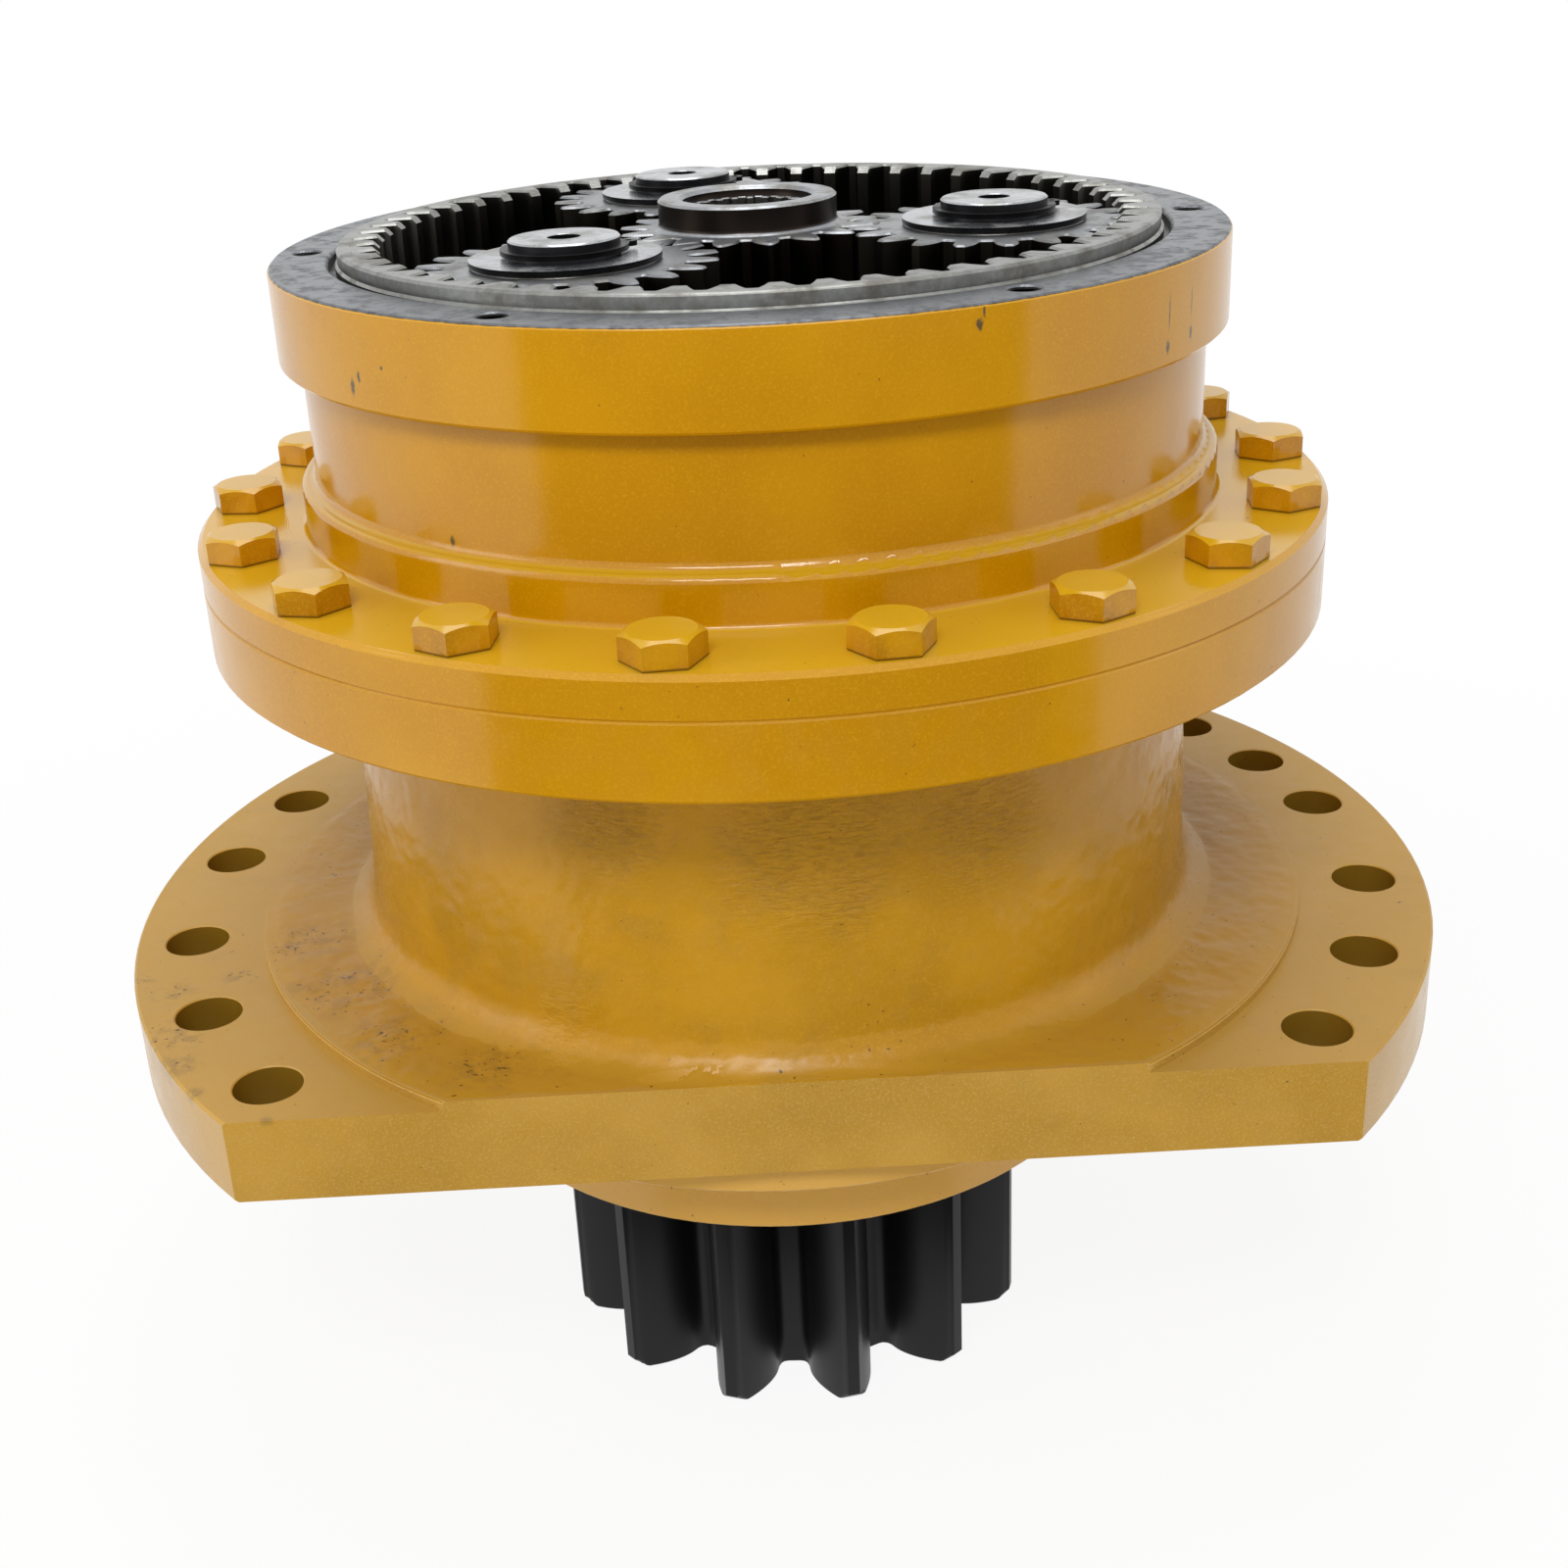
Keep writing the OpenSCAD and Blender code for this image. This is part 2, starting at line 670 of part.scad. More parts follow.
module ring_gear_case() {
    bore_r = ring_fit_r + seat_gap;
    recess_r = bore_r + recess_w;
    color(yellow)
    difference() {
        rotate_extrude() {
            difference() {
                union() {
                    ring_box(bore_r, band_d / 2, band_z, case_top_z);
                    ring_box(bore_r, waist_d / 2, collar_z - bite, band_z + bite);
                    ring_box(bore_r, collar_d / 2, case_flange_z - bite, collar_z);
                    ring_box(bore_r, flange_d / 2, split_h, case_flange_z);
                    corner_fillet(waist_d / 2, collar_z, waist_fillet, 1, 1);
                    corner_fillet(collar_d / 2, case_flange_z, flange_fillet, 1, 1);
                }
                ring_box(0, recess_r, case_top_z - recess_h, case_top_z + over);
                corner_cut(recess_r, case_top_z, edge_cut, -1, 1);
                corner_cut(band_d / 2, case_top_z, edge_cut, 1, 1);
                corner_cut(band_d / 2, band_z, edge_cut, 1, -1);
                corner_round(collar_d / 2, collar_z, collar_round_r, 1, 1);
                corner_cut(flange_d / 2, case_flange_z, flange_cut, 1, 1);
                corner_cut(flange_d / 2, split_h, split_cut, 1, -1);
            }
        }
        around(bolt_count, bolt_circle_d / 2, 0)
            translate([0, 0, split_h - over])
                cylinder(d = bolt_d + 2 * hole_cut, h = case_flange_h + 2 * over);
        around(motor_hole_count, motor_circle_d / 2, 0) {
            translate([0, 0, case_top_z - motor_hole_h]) cylinder(d = motor_hole_d, h = motor_hole_h + over);
            translate([0, 0, case_top_z - edge_cut])
                cylinder(d1 = motor_hole_d, d2 = motor_hole_d + 4 * edge_cut, h = 2 * edge_cut);
        }
        around(dowel_count, ring_fit_r, dowel_turn)
            translate([0, 0, split_h - over]) cylinder(d = dowel_d + 2 * seat_gap, h = dowel_len + 2 * over);
    }
}

module case_bolts() {
    color(yellow)
    for (i = [0 : bolt_count - 1])
        rotate([0, 0, i * 360 / bolt_count]) translate([bolt_circle_d / 2, 0, case_flange_z])
            rotate([0, 0, bolt_turns[i] - i * 360 / bolt_count])
                hex_bolt(bolt_d, bolt_af, bolt_head_h, bolt_len);
}

module ring_gear() {
    color(steel)
    difference() {
        rotate_extrude() {
            difference() {
                ring_box(ring_tip_r, ring_fit_r, ring_bottom, ring_top_z);
                polygon([[ring_top_r, ring_top_z + over], [ring_fit_r + over, ring_top_z + over],
                    [ring_fit_r + over, case_top_z - ring_step], [ring_fit_r, case_top_z - ring_step],
                    [ring_top_r, case_top_z]]);
                corner_cut(ring_top_r, ring_top_z, gear_tip_cut, 1, 1);
                corner_cut(ring_tip_r, ring_top_z, ring_tip_cut, -1, 1);
                corner_cut(ring_fit_r, ring_bottom, gear_tip_cut, 1, -1);
            }
        }
        translate([0, 0, ring_bottom - over])
            linear_extrude(ring_top_z - ring_bottom + 2 * over)
                rotate([0, 0, ring_turn])
                    ring_gaps();
        around(dowel_count, ring_fit_r, dowel_turn)
            translate([0, 0, ring_bottom - over])
                cylinder(d = dowel_d + 2 * seat_gap, h = split_h - ring_bottom + dowel_len + 2 * over);
    }
}

// The tooth gaps of the ring gear as one outline
module ring_gaps() {
    r0 = ring_tip_r - over;
    rows = [for (i = [0 : flank_steps])
        let (r = r0 + (ring_root_r - r0) * i / flank_steps)
            [r, half_tooth(ring_teeth, gear_m, 0, -tooth_gap, r)]];
    polygon([for (t = [0 : ring_teeth - 1]) each concat(
        [for (p = rows) polar(p[0], t * 360 / ring_teeth - p[1])],
        [for (i = [flank_steps : -1 : 0]) polar(rows[i][0], t * 360 / ring_teeth + rows[i][1])])]);
}

module ring_gear_dowels() {
    color(bright)
    around(dowel_count, ring_fit_r, dowel_turn)
        translate([0, 0, split_h + dowel_rise]) cylinder(d = dowel_d, h = dowel_len);
}

module case_o_ring() {
    color(rubber)
    translate([0, 0, split_h - o_ring_d / 2 - seat_gap / 2])
        rotate_extrude()
            translate([o_ring_r + seat_gap + o_ring_d / 2, 0])
                circle(d = o_ring_d - seat_gap, $fn = 32);
}

module sun_gear_1() {
    collar_r1 = sun_collar_d / 2;
    tip_r = gear_m * (sun_1_teeth / 2 + addendum_share + sun_1_shift_share);
    root_r = gear_m * (sun_1_teeth / 2 - dedendum_share + sun_1_shift_share);
    color(steel)
    difference() {
        union() {
            intersection() {
                translate([0, 0, gear_1_bottom])
                    linear_extrude(face_1)
                        rotate([0, 0, sun_spin(sun_1_teeth, planet_1_teeth, planet_turn_1)]) {
                            circle(r = root_r);
                            gear_outline(sun_1_teeth, gear_m, sun_1_shift_share, tooth_gap, root_r, tip_r);
                        }
                rotate_extrude()
                    gear_blank(tip_r, gear_1_bottom, gear_1_top);
            }
            rotate_extrude()
                difference() {
                    union() {
                        ring_box(sun_bore_r, collar_r1, gear_1_top - bite, sun_top);
                        corner_fillet(collar_r1, gear_1_top, sun_fillet, 1, 1);
                    }
                    corner_cut(collar_r1, sun_top, sun_rim_cut / 2, 1, 1);
                }
        }
        rotate_extrude() {
            ring_box(0, sun_recess_r, sun_top - sun_recess_h, sun_top + over);
            corner_cut(sun_recess_r, sun_top, sun_rim_cut, -1, 1);
            ring_box(0, sun_bore_r, gear_1_bottom - over, sun_top - sun_recess_h - motor_spline_len);
        }
        translate([0, 0, sun_top - sun_recess_h - motor_spline_len - bite])
            linear_extrude(motor_spline_len + 2 * bite)
                spline_outline(motor_spline_n, motor_spline_tip, motor_spline_r, 0);
    }
}

// Half section of a gear blank with chamfered tooth ends
module gear_blank(r, z0, z1) {
    difference() {
        ring_box(0, r, z0, z1);
        corner_cut(r, z1, gear_tip_cut, 1, 1);
        corner_cut(r, z0, gear_tip_cut, 1, -1);
    }
}

module sun_1_thrust_washer() {
    color(bronze)
    tube(sun_bore_r, sun_washer_r, carrier_1_top, gear_1_bottom - run_gap);
}

// Planet gear of z teeth on a pin and needles, between heights z0 and z1
module planet_gear(z, centre, first, k, pin_d, needle_d, hub_r, z0, z1) {
    angle = planet_angle(first, k);
    tip_r = gear_m * (z / 2 + addendum_share);
    root_r = gear_m * (z / 2 - dedendum_share);
    bore_r = pin_d / 2 + needle_d + 2 * run_gap;
    color(steel)
    rotate([0, 0, angle]) translate([centre, 0, 0]) rotate([0, 0, -angle])
    difference() {
        union() {
            intersection() {
                translate([0, 0, z0])
                    linear_extrude(z1 - z0)
                        rotate([0, 0, planet_spin(z, angle)]) {
                            circle(r = root_r);
                            gear_outline(z, gear_m, 0, tooth_gap, root_r, tip_r);
                        }
                rotate_extrude()
                    gear_blank(tip_r, z0, z1);
            }
            translate([0, 0, z0 - hub_h]) cylinder(r = hub_r, h = z1 - z0 + 2 * hub_h);
        }
        rotate_extrude() {
            ring_box(0, bore_r, z0 - over - hub_h, z1 + over + hub_h);
            corner_cut(bore_r, z1 + hub_h, gear_tip_cut, -1, 1);
            corner_cut(bore_r, z0 - hub_h, gear_tip_cut, -1, -1);
        }
    }
}

// Needle rollers in their cage between a pin and a planet bore
module needle_bearing(centre, first, k, pin_d, needle_d, z0, z1) {
    angle = planet_angle(first, k);
    track_r = pin_d / 2 + run_gap + needle_d / 2;
    cage_r = cage_share * needle_d / 2;
    color(bright)
    rotate([0, 0, angle]) translate([centre, 0, 0]) {
        around(needle_count, track_r, 0)
            translate([0, 0, z0 + needle_end + seat_gap])
                cylinder(d = needle_d, h = z1 - z0 - 2 * needle_end - 2 * seat_gap, $fn = 24);
        difference() {
            tube(track_r - cage_r, track_r + cage_r, z0, z1);
            around(needle_count, track_r, 0)
                translate([0, 0, z0 + needle_end])
                    cylinder(d = needle_d + 2 * seat_gap, h = z1 - z0 - 2 * needle_end, $fn = 24);
        }
    }
}

// Planet pin from z0 to z1 with a circlip groove, a centre hole and a roll pin hole
module planet_pin(centre, first, k, d, z0, z1, clip_z, roll_z) {
    angle = planet_angle(first, k);
    color(bright)
    rotate([0, 0, angle]) translate([centre, 0, 0])
    difference() {
        rotate_extrude()
            difference() {
                ring_box(0, d / 2, z0, z1);
                corner_cut(d / 2, z1, pin_cut, 1, 1);
                corner_cut(d / 2, z0, pin_cut, 1, -1);
                ring_box(d / 2 - groove_h - seat_gap, d / 2 + over, clip_z - seat_gap,
                    clip_z + clip_h + seat_gap);
                ring_box(0, pin_hole_d / 2, z1 - pin_hole_h, z1 + over);
                corner_cut(pin_hole_d / 2, z1, pin_cut / 2, -1, 1);
            }
        translate([d / 2 - roll_pin_bite, 0, roll_z])
            rotate([0, 90, 0]) cylinder(d = roll_pin_d + 2 * seat_gap, h = d);
    }
}

// External circlip: open ring with two ears
module circlip(d, z) {
    inner = d / 2 - groove_h;
    outer = d / 2 + clip_w - groove_h;
    translate([0, 0, z])
        linear_extrude(clip_h)
            difference() {
                union() {
                    circle(r = outer);
                    for (s = [-1, 1])
                        rotate([0, 0, s * clip_angle / 2])
                            translate([outer, 0]) circle(r = clip_ear_r, $fn = 32);
                }
                circle(r = inner);
                polygon([[0, 0], polar(2 * outer, -clip_angle / 4), polar(2 * outer, clip_angle / 4)]);
                for (s = [-1, 1])
                    rotate([0, 0, s * clip_angle / 2])
                        translate([outer, 0]) circle(r = clip_ear_hole, $fn = 32);
            }
}

// Circlips of a stage, their gaps turned to one side
module stage_clips(centre, first, d, z) {
    color(dark)
    for (k = [0 : planets - 1])
        rotate([0, 0, planet_angle(first, k)]) translate([centre, 0, 0])
            rotate([0, 0, clip_turn - planet_angle(first, k)]) circlip(d, z);
}

// Thrust washers of a stage from z up
module stage_washers(centre, first, bore_d, outer_d, z) {
    color(steel)
    around(planets, centre, first)
        tube(bore_d / 2 + seat_gap, outer_d / 2, z, z + washer_h);
}

// Slotted spring pins that lock the planet pins from the carrier's rim
module stage_roll_pins(centre, first, pin_d, rim_d, z) {
    start = centre + pin_d / 2 - roll_pin_bite + seat_gap;
    color(dark)
    for (k = [0 : planets - 1])
        rotate([0, 0, planet_angle(first, k)]) translate([start, 0, z]) rotate([0, 90, 0])
            difference() {
                cylinder(d = roll_pin_d, h = rim_d / 2 - start - roll_pin_sink);
                translate([0, 0, -over])
                    cylinder(d = roll_pin_d - 2 * roll_pin_wall, h = rim_d);
                translate([-roll_pin_wall / 2, 0, -over])
                    cube([roll_pin_wall, roll_pin_d, rim_d]);
            }
}

module carrier_1() {
    mid_z = (carrier_1_top + carrier_1_bottom) / 2;
    color(dark)
    difference() {
        rotate_extrude()
            difference() {
                ring_box(0, carrier_1_d / 2, carrier_1_bottom, carrier_1_top);
                corner_cut(carrier_1_d / 2, carrier_1_top, flange_cut, 1, 1);
                corner_cut(carrier_1_d / 2, carrier_1_bottom, flange_cut, 1, -1);
            }
        around(planets, centre_1, planet_turn_1)
            translate([0, 0, carrier_1_bottom - over])
                cylinder(r = pin_1_d / 2 + seat_gap, h = carrier_1_h + 2 * over);
        around(planets, centre_1, planet_turn_1)
            translate([0, 0, mid_z])
                rotate([0, 90, 0]) cylinder(d = roll_pin_d + 2 * seat_gap, h = carrier_1_d);
        translate([0, 0, carrier_1_bottom - over])
            linear_extrude(carrier_1_h + 2 * over)
                spline_outline(shank_n, shank_r - shank_h, shank_r, spline_gap);
    }
}

module sun_gear_2() {
    tip_r = gear_m * (sun_2_teeth / 2 + addendum_share);
    root_r = gear_m * (sun_2_teeth / 2 - dedendum_share);
    color(steel)
    union() {
        intersection() {
            translate([0, 0, gear_2_bottom])
                linear_extrude(face_2)
                    rotate([0, 0, sun_spin(sun_2_teeth, planet_2_teeth, planet_turn_2)]) {
                        circle(r = root_r);
                        gear_outline(sun_2_teeth, gear_m, 0, tooth_gap, root_r, tip_r);
                    }
            rotate_extrude()
                gear_blank(tip_r, gear_2_bottom, gear_2_top);
        }
        translate([0, 0, gear_2_top - bite])
            cylinder(r = sun_2_collar_r, h = carrier_1_bottom - seat_gap - gear_2_top + bite);
        translate([0, 0, carrier_1_bottom - seat_gap - bite])
            linear_extrude(carrier_1_h + bite)
                spline_outline(shank_n, shank_r - shank_h, shank_r, 0);
    }
}

module carrier_2() {
    roll_z = carrier_2_top - carrier_2_h / 2;
    color(dark)
    difference() {
        rotate_extrude()
            difference() {
                ring_box(0, carrier_2_d / 2, carrier_2_bottom, carrier_2_top);
                corner_cut(carrier_2_d / 2, carrier_2_top, flange_cut, 1, 1);
                corner_cut(carrier_2_d / 2, carrier_2_bottom, flange_cut, 1, -1);
                ring_box(0, plate_r + seat_gap, shaft_top, carrier_2_top + over);
            }
        around(planets, centre_2, planet_turn_2)
            translate([0, 0, carrier_2_bottom - over])
                cylinder(r = pin_2_d / 2 + seat_gap, h = carrier_2_h + 2 * over);
        around(planets, centre_2, planet_turn_2)
            translate([0, 0, roll_z])
                rotate([0, 90, 0]) cylinder(d = roll_pin_d + 2 * seat_gap, h = carrier_2_d);
        translate([0, 0, carrier_2_bottom - over])
            linear_extrude(carrier_2_h + 2 * over)
                spline_outline(spline_n, spline_r - spline_h, spline_r, spline_gap);
    }
}

module retaining_plate() {
    color(dark)
    difference() {
        translate([0, 0, shaft_top + seat_gap]) cylinder(r = plate_r, h = plate_h);
        around(planets, plate_bolt_r, 0)
            translate([0, 0, shaft_top - over])
                cylinder(d = plate_bolt_d + 2 * hole_cut, h = plate_h + 2 * over);
    }
}

module retaining_bolts() {
    color(dark)
    around(planets, plate_bolt_r, 0)
        translate([0, 0, shaft_top + plate_h + 2 * seat_gap])
            hex_bolt(plate_bolt_d, plate_bolt_af, plate_bolt_head, plate_bolt_len);
}

module thrust_pad() {
    color(bronze)
    translate([0, 0, shaft_top + plate_h + 2 * seat_gap])
        cylinder(r = pad_r, h = gear_2_bottom - run_gap - shaft_top - plate_h - 2 * seat_gap);
}

module pinion_shaft() {
    tip_r = pinion_m * (pinion_teeth / 2 + addendum_share + pinion_shift_share);
    root_r = pinion_m * (pinion_teeth / 2 - dedendum_share + pinion_shift_share);
    thread_r = upper_bore_d / 2 - thread_step;
    nut_top = upper_z + upper_w + lock_washer_h + locknut_h + 2 * seat_gap;
    color(black)
    difference() {
        union() {
            intersection() {
                translate([0, 0, pinion_bottom])
                    linear_extrude(pinion_face)
                        rotate([0, 0, pinion_turn]) {
                            circle(r = root_r);
                            gear_outline(pinion_teeth, pinion_m, pinion_shift_share, 0, root_r, tip_r);
                        }
                rotate_extrude()
                    difference() {
                        ring_box(0, tip_r, pinion_bottom, pinion_top);
                        corner_cut(tip_r, pinion_bottom, pinion_chamfer, 1, -1);
                        corner_cut(tip_r, pinion_top, edge_cut, 1, 1);
                    }
            }
            rotate_extrude() {
                ring_box(0, shaft_collar_r, pinion_top - bite, lower_z);
                ring_box(0, lower_bore_d / 2 - seat_gap, lower_z - bite, lower_top + bite);
                ring_box(0, body_r, lower_top, upper_z);
                ring_box(0, upper_bore_d / 2 - seat_gap, upper_z - bite, upper_z + upper_w);
                ring_box(0, thread_r, upper_z + upper_w - bite, nut_top);
                ring_box(0, spline_r - spline_h, nut_top - bite, shaft_top);
            }
            translate([0, 0, nut_top])
                linear_extrude(shaft_top - nut_top)
                    spline_outline(spline_n, spline_r - spline_h, spline_r, 0);
        }
        around(planets, plate_bolt_r, 0)
            translate([0, 0, shaft_top - plate_bolt_len])
                cylinder(d = plate_bolt_d + 2 * seat_gap, h = plate_bolt_len + over);
    }
}

// Tapered roller bearing, large roller ends up, standing on height zero: sizes that all its pieces share
function bearing_mean(bore, outer) = (bore + outer) / 4;
function bearing_roller(bore, outer) = roller_share * (outer - bore) / 2;
function bearing_taper(bore, outer) =
    atan(bearing_roller(bore, outer) * sin(roller_tilt) / bearing_mean(bore, outer));

// Point beside the roller axis: t along it from the middle, s away from the shaft
function beside(bore, outer, w, t, s) =
    [bearing_mean(bore, outer) + t * sin(roller_tilt) + s * cos(roller_tilt),
        w / 2 + t * cos(roller_tilt) - s * sin(roller_tilt)];

module bearing_inner(bore, outer, w) {
    taper = tan(bearing_taper(bore, outer));
    t1 = roller_len_share * w / 2 + run_gap;
    low = beside(bore, outer, w, -t1, -bearing_roller(bore, outer) + t1 * taper - run_gap);
    high = beside(bore, outer, w, t1, -bearing_roller(bore, outer) - t1 * taper - run_gap);
    rib_r = high[0] + rib_share * bearing_roller(bore, outer);
    color(bright)
    rotate_extrude()
        polygon([[bore / 2, 0], [low[0] + rib_h, 0], [low[0] + rib_h, low[1]], low,
            high, [rib_r, high[1]], [rib_r, w], [bore / 2, w]]);
}

module bearing_outer(bore, outer, w) {
    taper = bearing_taper(bore, outer);
    mid = beside(bore, outer, w, 0, bearing_roller(bore, outer) + run_gap / cos(taper));
    slope = tan(roller_tilt + taper);
    cup_w = cup_share * w;
    color(bright)
    rotate_extrude()
        polygon([[mid[0] - mid[1] * slope, 0], [outer / 2, 0], [outer / 2, cup_w],
            [mid[0] + (cup_w - mid[1]) * slope, cup_w]]);
}

module bearing_roller_at(bore, outer, w, grow) {
    len = roller_len_share * w;
    r = bearing_roller(bore, outer) + grow;
    change = len / 2 * tan(bearing_taper(bore, outer));
    translate([bearing_mean(bore, outer), 0, w / 2])
        rotate([0, roller_tilt, 0])
            translate([0, 0, -len / 2 - grow])
                cylinder(r1 = r - change, r2 = r + change, h = len + 2 * grow, $fn = 32);
}

module bearing_rollers(bore, outer, w) {
    half = roller_len_share * w / 2 + cage_t;
    color(bronze)
    difference() {
        rotate_extrude()
            polygon([beside(bore, outer, w, -half, -cage_t / 2), beside(bore, outer, w, -half, cage_t / 2),
                beside(bore, outer, w, half, cage_t / 2), beside(bore, outer, w, half, -cage_t / 2)]);
        around(roller_count, 0, 0) bearing_roller_at(bore, outer, w, run_gap);
    }
    color(bright)
    around(roller_count, 0, 0) bearing_roller_at(bore, outer, w, 0);
}

// The upper bearing's large roller ends point up, the lower one's point down
module at_upper() {
    translate([0, 0, upper_z]) children();
}

module at_lower() {
    translate([0, 0, lower_top]) rotate([180, 0, 0]) children();
}

module bearing_locknut() {
    thread_r = upper_bore_d / 2 - thread_step + seat_gap;
    nut_r = upper_bore_d / 2 + locknut_w;
    z = upper_z + upper_w + lock_washer_h + 2 * seat_gap;
    color(dark)
    difference() {
        rotate_extrude()
            difference() {
                ring_box(thread_r, nut_r, z, z + locknut_h);
                corner_cut(nut_r, z + locknut_h, edge_cut, 1, 1);
            }
        for (i = [0 : locknut_slots - 1])
            rotate([0, 0, i * 360 / locknut_slots])
                translate([nut_r - locknut_slot_h, -locknut_slot_w / 2, z - over])
                    cube([locknut_slot_h + over, locknut_slot_w, locknut_h + 2 * over]);
    }
}

module lock_washer() {
    nut_r = upper_bore_d / 2 + locknut_w;
    z = upper_z + upper_w + seat_gap;
    color(steel)
    union() {
        tube(upper_bore_d / 2 - thread_step + seat_gap, nut_r - locknut_slot_h - over, z, z + lock_washer_h);
        for (i = [0 : locknut_slots - 1])
            rotate([0, 0, i * 360 / locknut_slots])
                translate([nut_r - locknut_slot_h - 2 * over, -locknut_slot_w / 2 + over, z])
                    cube([locknut_slot_h + 2 * over, locknut_slot_w - 2 * over, lock_washer_h]);
    }
}

module oil_seal() {
    r0 = shaft_collar_r + sleeve_w + run_gap;
    r1 = shaft_collar_r + sleeve_w + seal_w;
    z0 = boss_z + edge_cut + snap_h + carrier_lift;
    color(rubber)
    rotate_extrude()
        difference() {
            ring_box(r0, r1, z0, z0 + seal_h);
            ring_box(r0 + seal_lip, r1 - seal_wall, z0 + seal_wall, z0 + seal_h + over);
            ring_box(0, r0 + seal_lip / 3, z0 - over, z0 + seal_h / 3);
            ring_box(0, r0 + seal_lip / 3, z0 + seal_h / 2, z0 + seal_h + over);
        }
}

module seal_carrier() {
    r0 = shaft_collar_r + sleeve_w + seal_w + seat_gap;
    z0 = boss_z + edge_cut + snap_h + 3 * seat_gap;
    color(steel)
    rotate_extrude()
        difference() {
            ring_box(r0 - seal_wall, lower_outer_d / 2, z0, lower_z + lower_w * (1 - cup_share) - seat_gap);
            ring_box(0, r0, z0 + carrier_lift - 4 * seat_gap, lower_z + lower_w);
            corner_cut(lower_outer_d / 2, z0, edge_cut, 1, -1);
            ring_box(0, lower_outer_d / 2 - shoulder_w / 2, z0 + carrier_lift + seal_h, lower_z + lower_w);
        }
}

module snap_ring() {
    outer = lower_outer_d / 2 + snap_groove - seat_gap;
    color(dark)
    translate([0, 0, boss_z + edge_cut + seat_gap])
        linear_extrude(snap_h)
            difference() {
                circle(r = outer);
                circle(r = outer - snap_w);
                polygon([[0, 0], polar(2 * outer, -90 - snap_angle / 2), polar(2 * outer, -90 + snap_angle / 2)]);
            }
}

module wear_sleeve() {
    color(bright)
    tube(shaft_collar_r + seat_gap, shaft_collar_r + sleeve_w, pinion_top + seat_gap, lower_z - seat_gap);
}

module drain_plug() {
    seat_y = neck_foot_d / 2 + drain_boss_w + drain_washer_h + 2 * seat_gap;
    color(steel)
    translate([0, seat_y, drain_z]) rotate([-90, 0, 0])
        hex_bolt(drain_d, drain_head_af, drain_head_h, drain_len);
}

module drain_plug_washer() {
    seat_y = neck_foot_d / 2 + drain_boss_w + seat_gap;
    color(bronze)
    translate([0, seat_y, drain_z]) rotate([-90, 0, 0])
        tube(drain_d / 2 + seat_gap, drain_washer_r, 0, drain_washer_h);
}

// Angles of the foot holes: three to a quarter, closer together in the back right one
foot_angles = concat(
    [for (i = [0 : 2]) foot_first + i * foot_odd_pitch],
    [for (i = [0 : 2]) 180 - foot_first - i * foot_pitch],
    [for (i = [0 : 2]) 180 + foot_first + i * foot_pitch],
    [for (i = [0 : 2]) 360 - foot_first - i * foot_pitch]);

module planet_gear_1(k) {
    planet_gear(planet_1_teeth, centre_1, planet_turn_1, k, pin_1_d, needle_1_d, washer_1_d / 2 - hub_step,
        gear_1_bottom, gear_1_top);
}

module planet_gear_2(k) {
    planet_gear(planet_2_teeth, centre_2, planet_turn_2, k, pin_2_d, needle_2_d, washer_2_d / 2 - hub_step,
        gear_2_bottom, gear_2_top);
}

module needle_bearing_1(k) {
    needle_bearing(centre_1, planet_turn_1, k, pin_1_d, needle_1_d, gear_1_bottom, gear_1_top);
}

module needle_bearing_2(k) {
    needle_bearing(centre_2, planet_turn_2, k, pin_2_d, needle_2_d, gear_2_bottom, gear_2_top);
}

module planet_pin_1(k) {
    planet_pin(centre_1, planet_turn_1, k, pin_1_d, carrier_1_bottom, pin_1_top, clip_1_z,
        (carrier_1_top + carrier_1_bottom) / 2);
}

module planet_pin_2(k) {
    planet_pin(centre_2, planet_turn_2, k, pin_2_d, carrier_2_bottom, pin_2_top, clip_2_z,
        carrier_2_top - carrier_2_h / 2);
}

lower_housing();
housing_bolt_flange();
housing_foot();
ring_gear_case();
case_bolts();
ring_gear();
ring_gear_dowels();
case_o_ring();
sun_gear_1();
sun_1_thrust_washer();
planet_gear_1(0);  // planet_gear_1a
planet_gear_1(1);  // planet_gear_1b
planet_gear_1(2);  // planet_gear_1c
needle_bearing_1(0);  // needle_bearing_1a
needle_bearing_1(1);  // needle_bearing_1b
needle_bearing_1(2);  // needle_bearing_1c
planet_pin_1(0);  // planet_pin_1a
planet_pin_1(1);  // planet_pin_1b
planet_pin_1(2);  // planet_pin_1c
stage_clips(centre_1, planet_turn_1, pin_1_d, clip_1_z);  // circlips_1
stage_washers(centre_1, planet_turn_1, pin_1_d, washer_1_d, gear_1_top + hub_h + run_gap);  // thrust_washers_1_upper
stage_washers(centre_1, planet_turn_1, pin_1_d, washer_1_d, washer_1_low);  // thrust_washers_1_lower
stage_roll_pins(centre_1, planet_turn_1, pin_1_d, carrier_1_d, (carrier_1_top + carrier_1_bottom) / 2);  // roll_pins_1
carrier_1();
sun_gear_2();
planet_gear_2(0);  // planet_gear_2a
planet_gear_2(1);  // planet_gear_2b
planet_gear_2(2);  // planet_gear_2c
needle_bearing_2(0);  // needle_bearing_2a
needle_bearing_2(1);  // needle_bearing_2b
needle_bearing_2(2);  // needle_bearing_2c
planet_pin_2(0);  // planet_pin_2a
planet_pin_2(1);  // planet_pin_2b
planet_pin_2(2);  // planet_pin_2c
stage_clips(centre_2, planet_turn_2, pin_2_d, clip_2_z);  // circlips_2
stage_washers(centre_2, planet_turn_2, pin_2_d, washer_2_d, gear_2_top + hub_h + run_gap);  // thrust_washers_2_upper
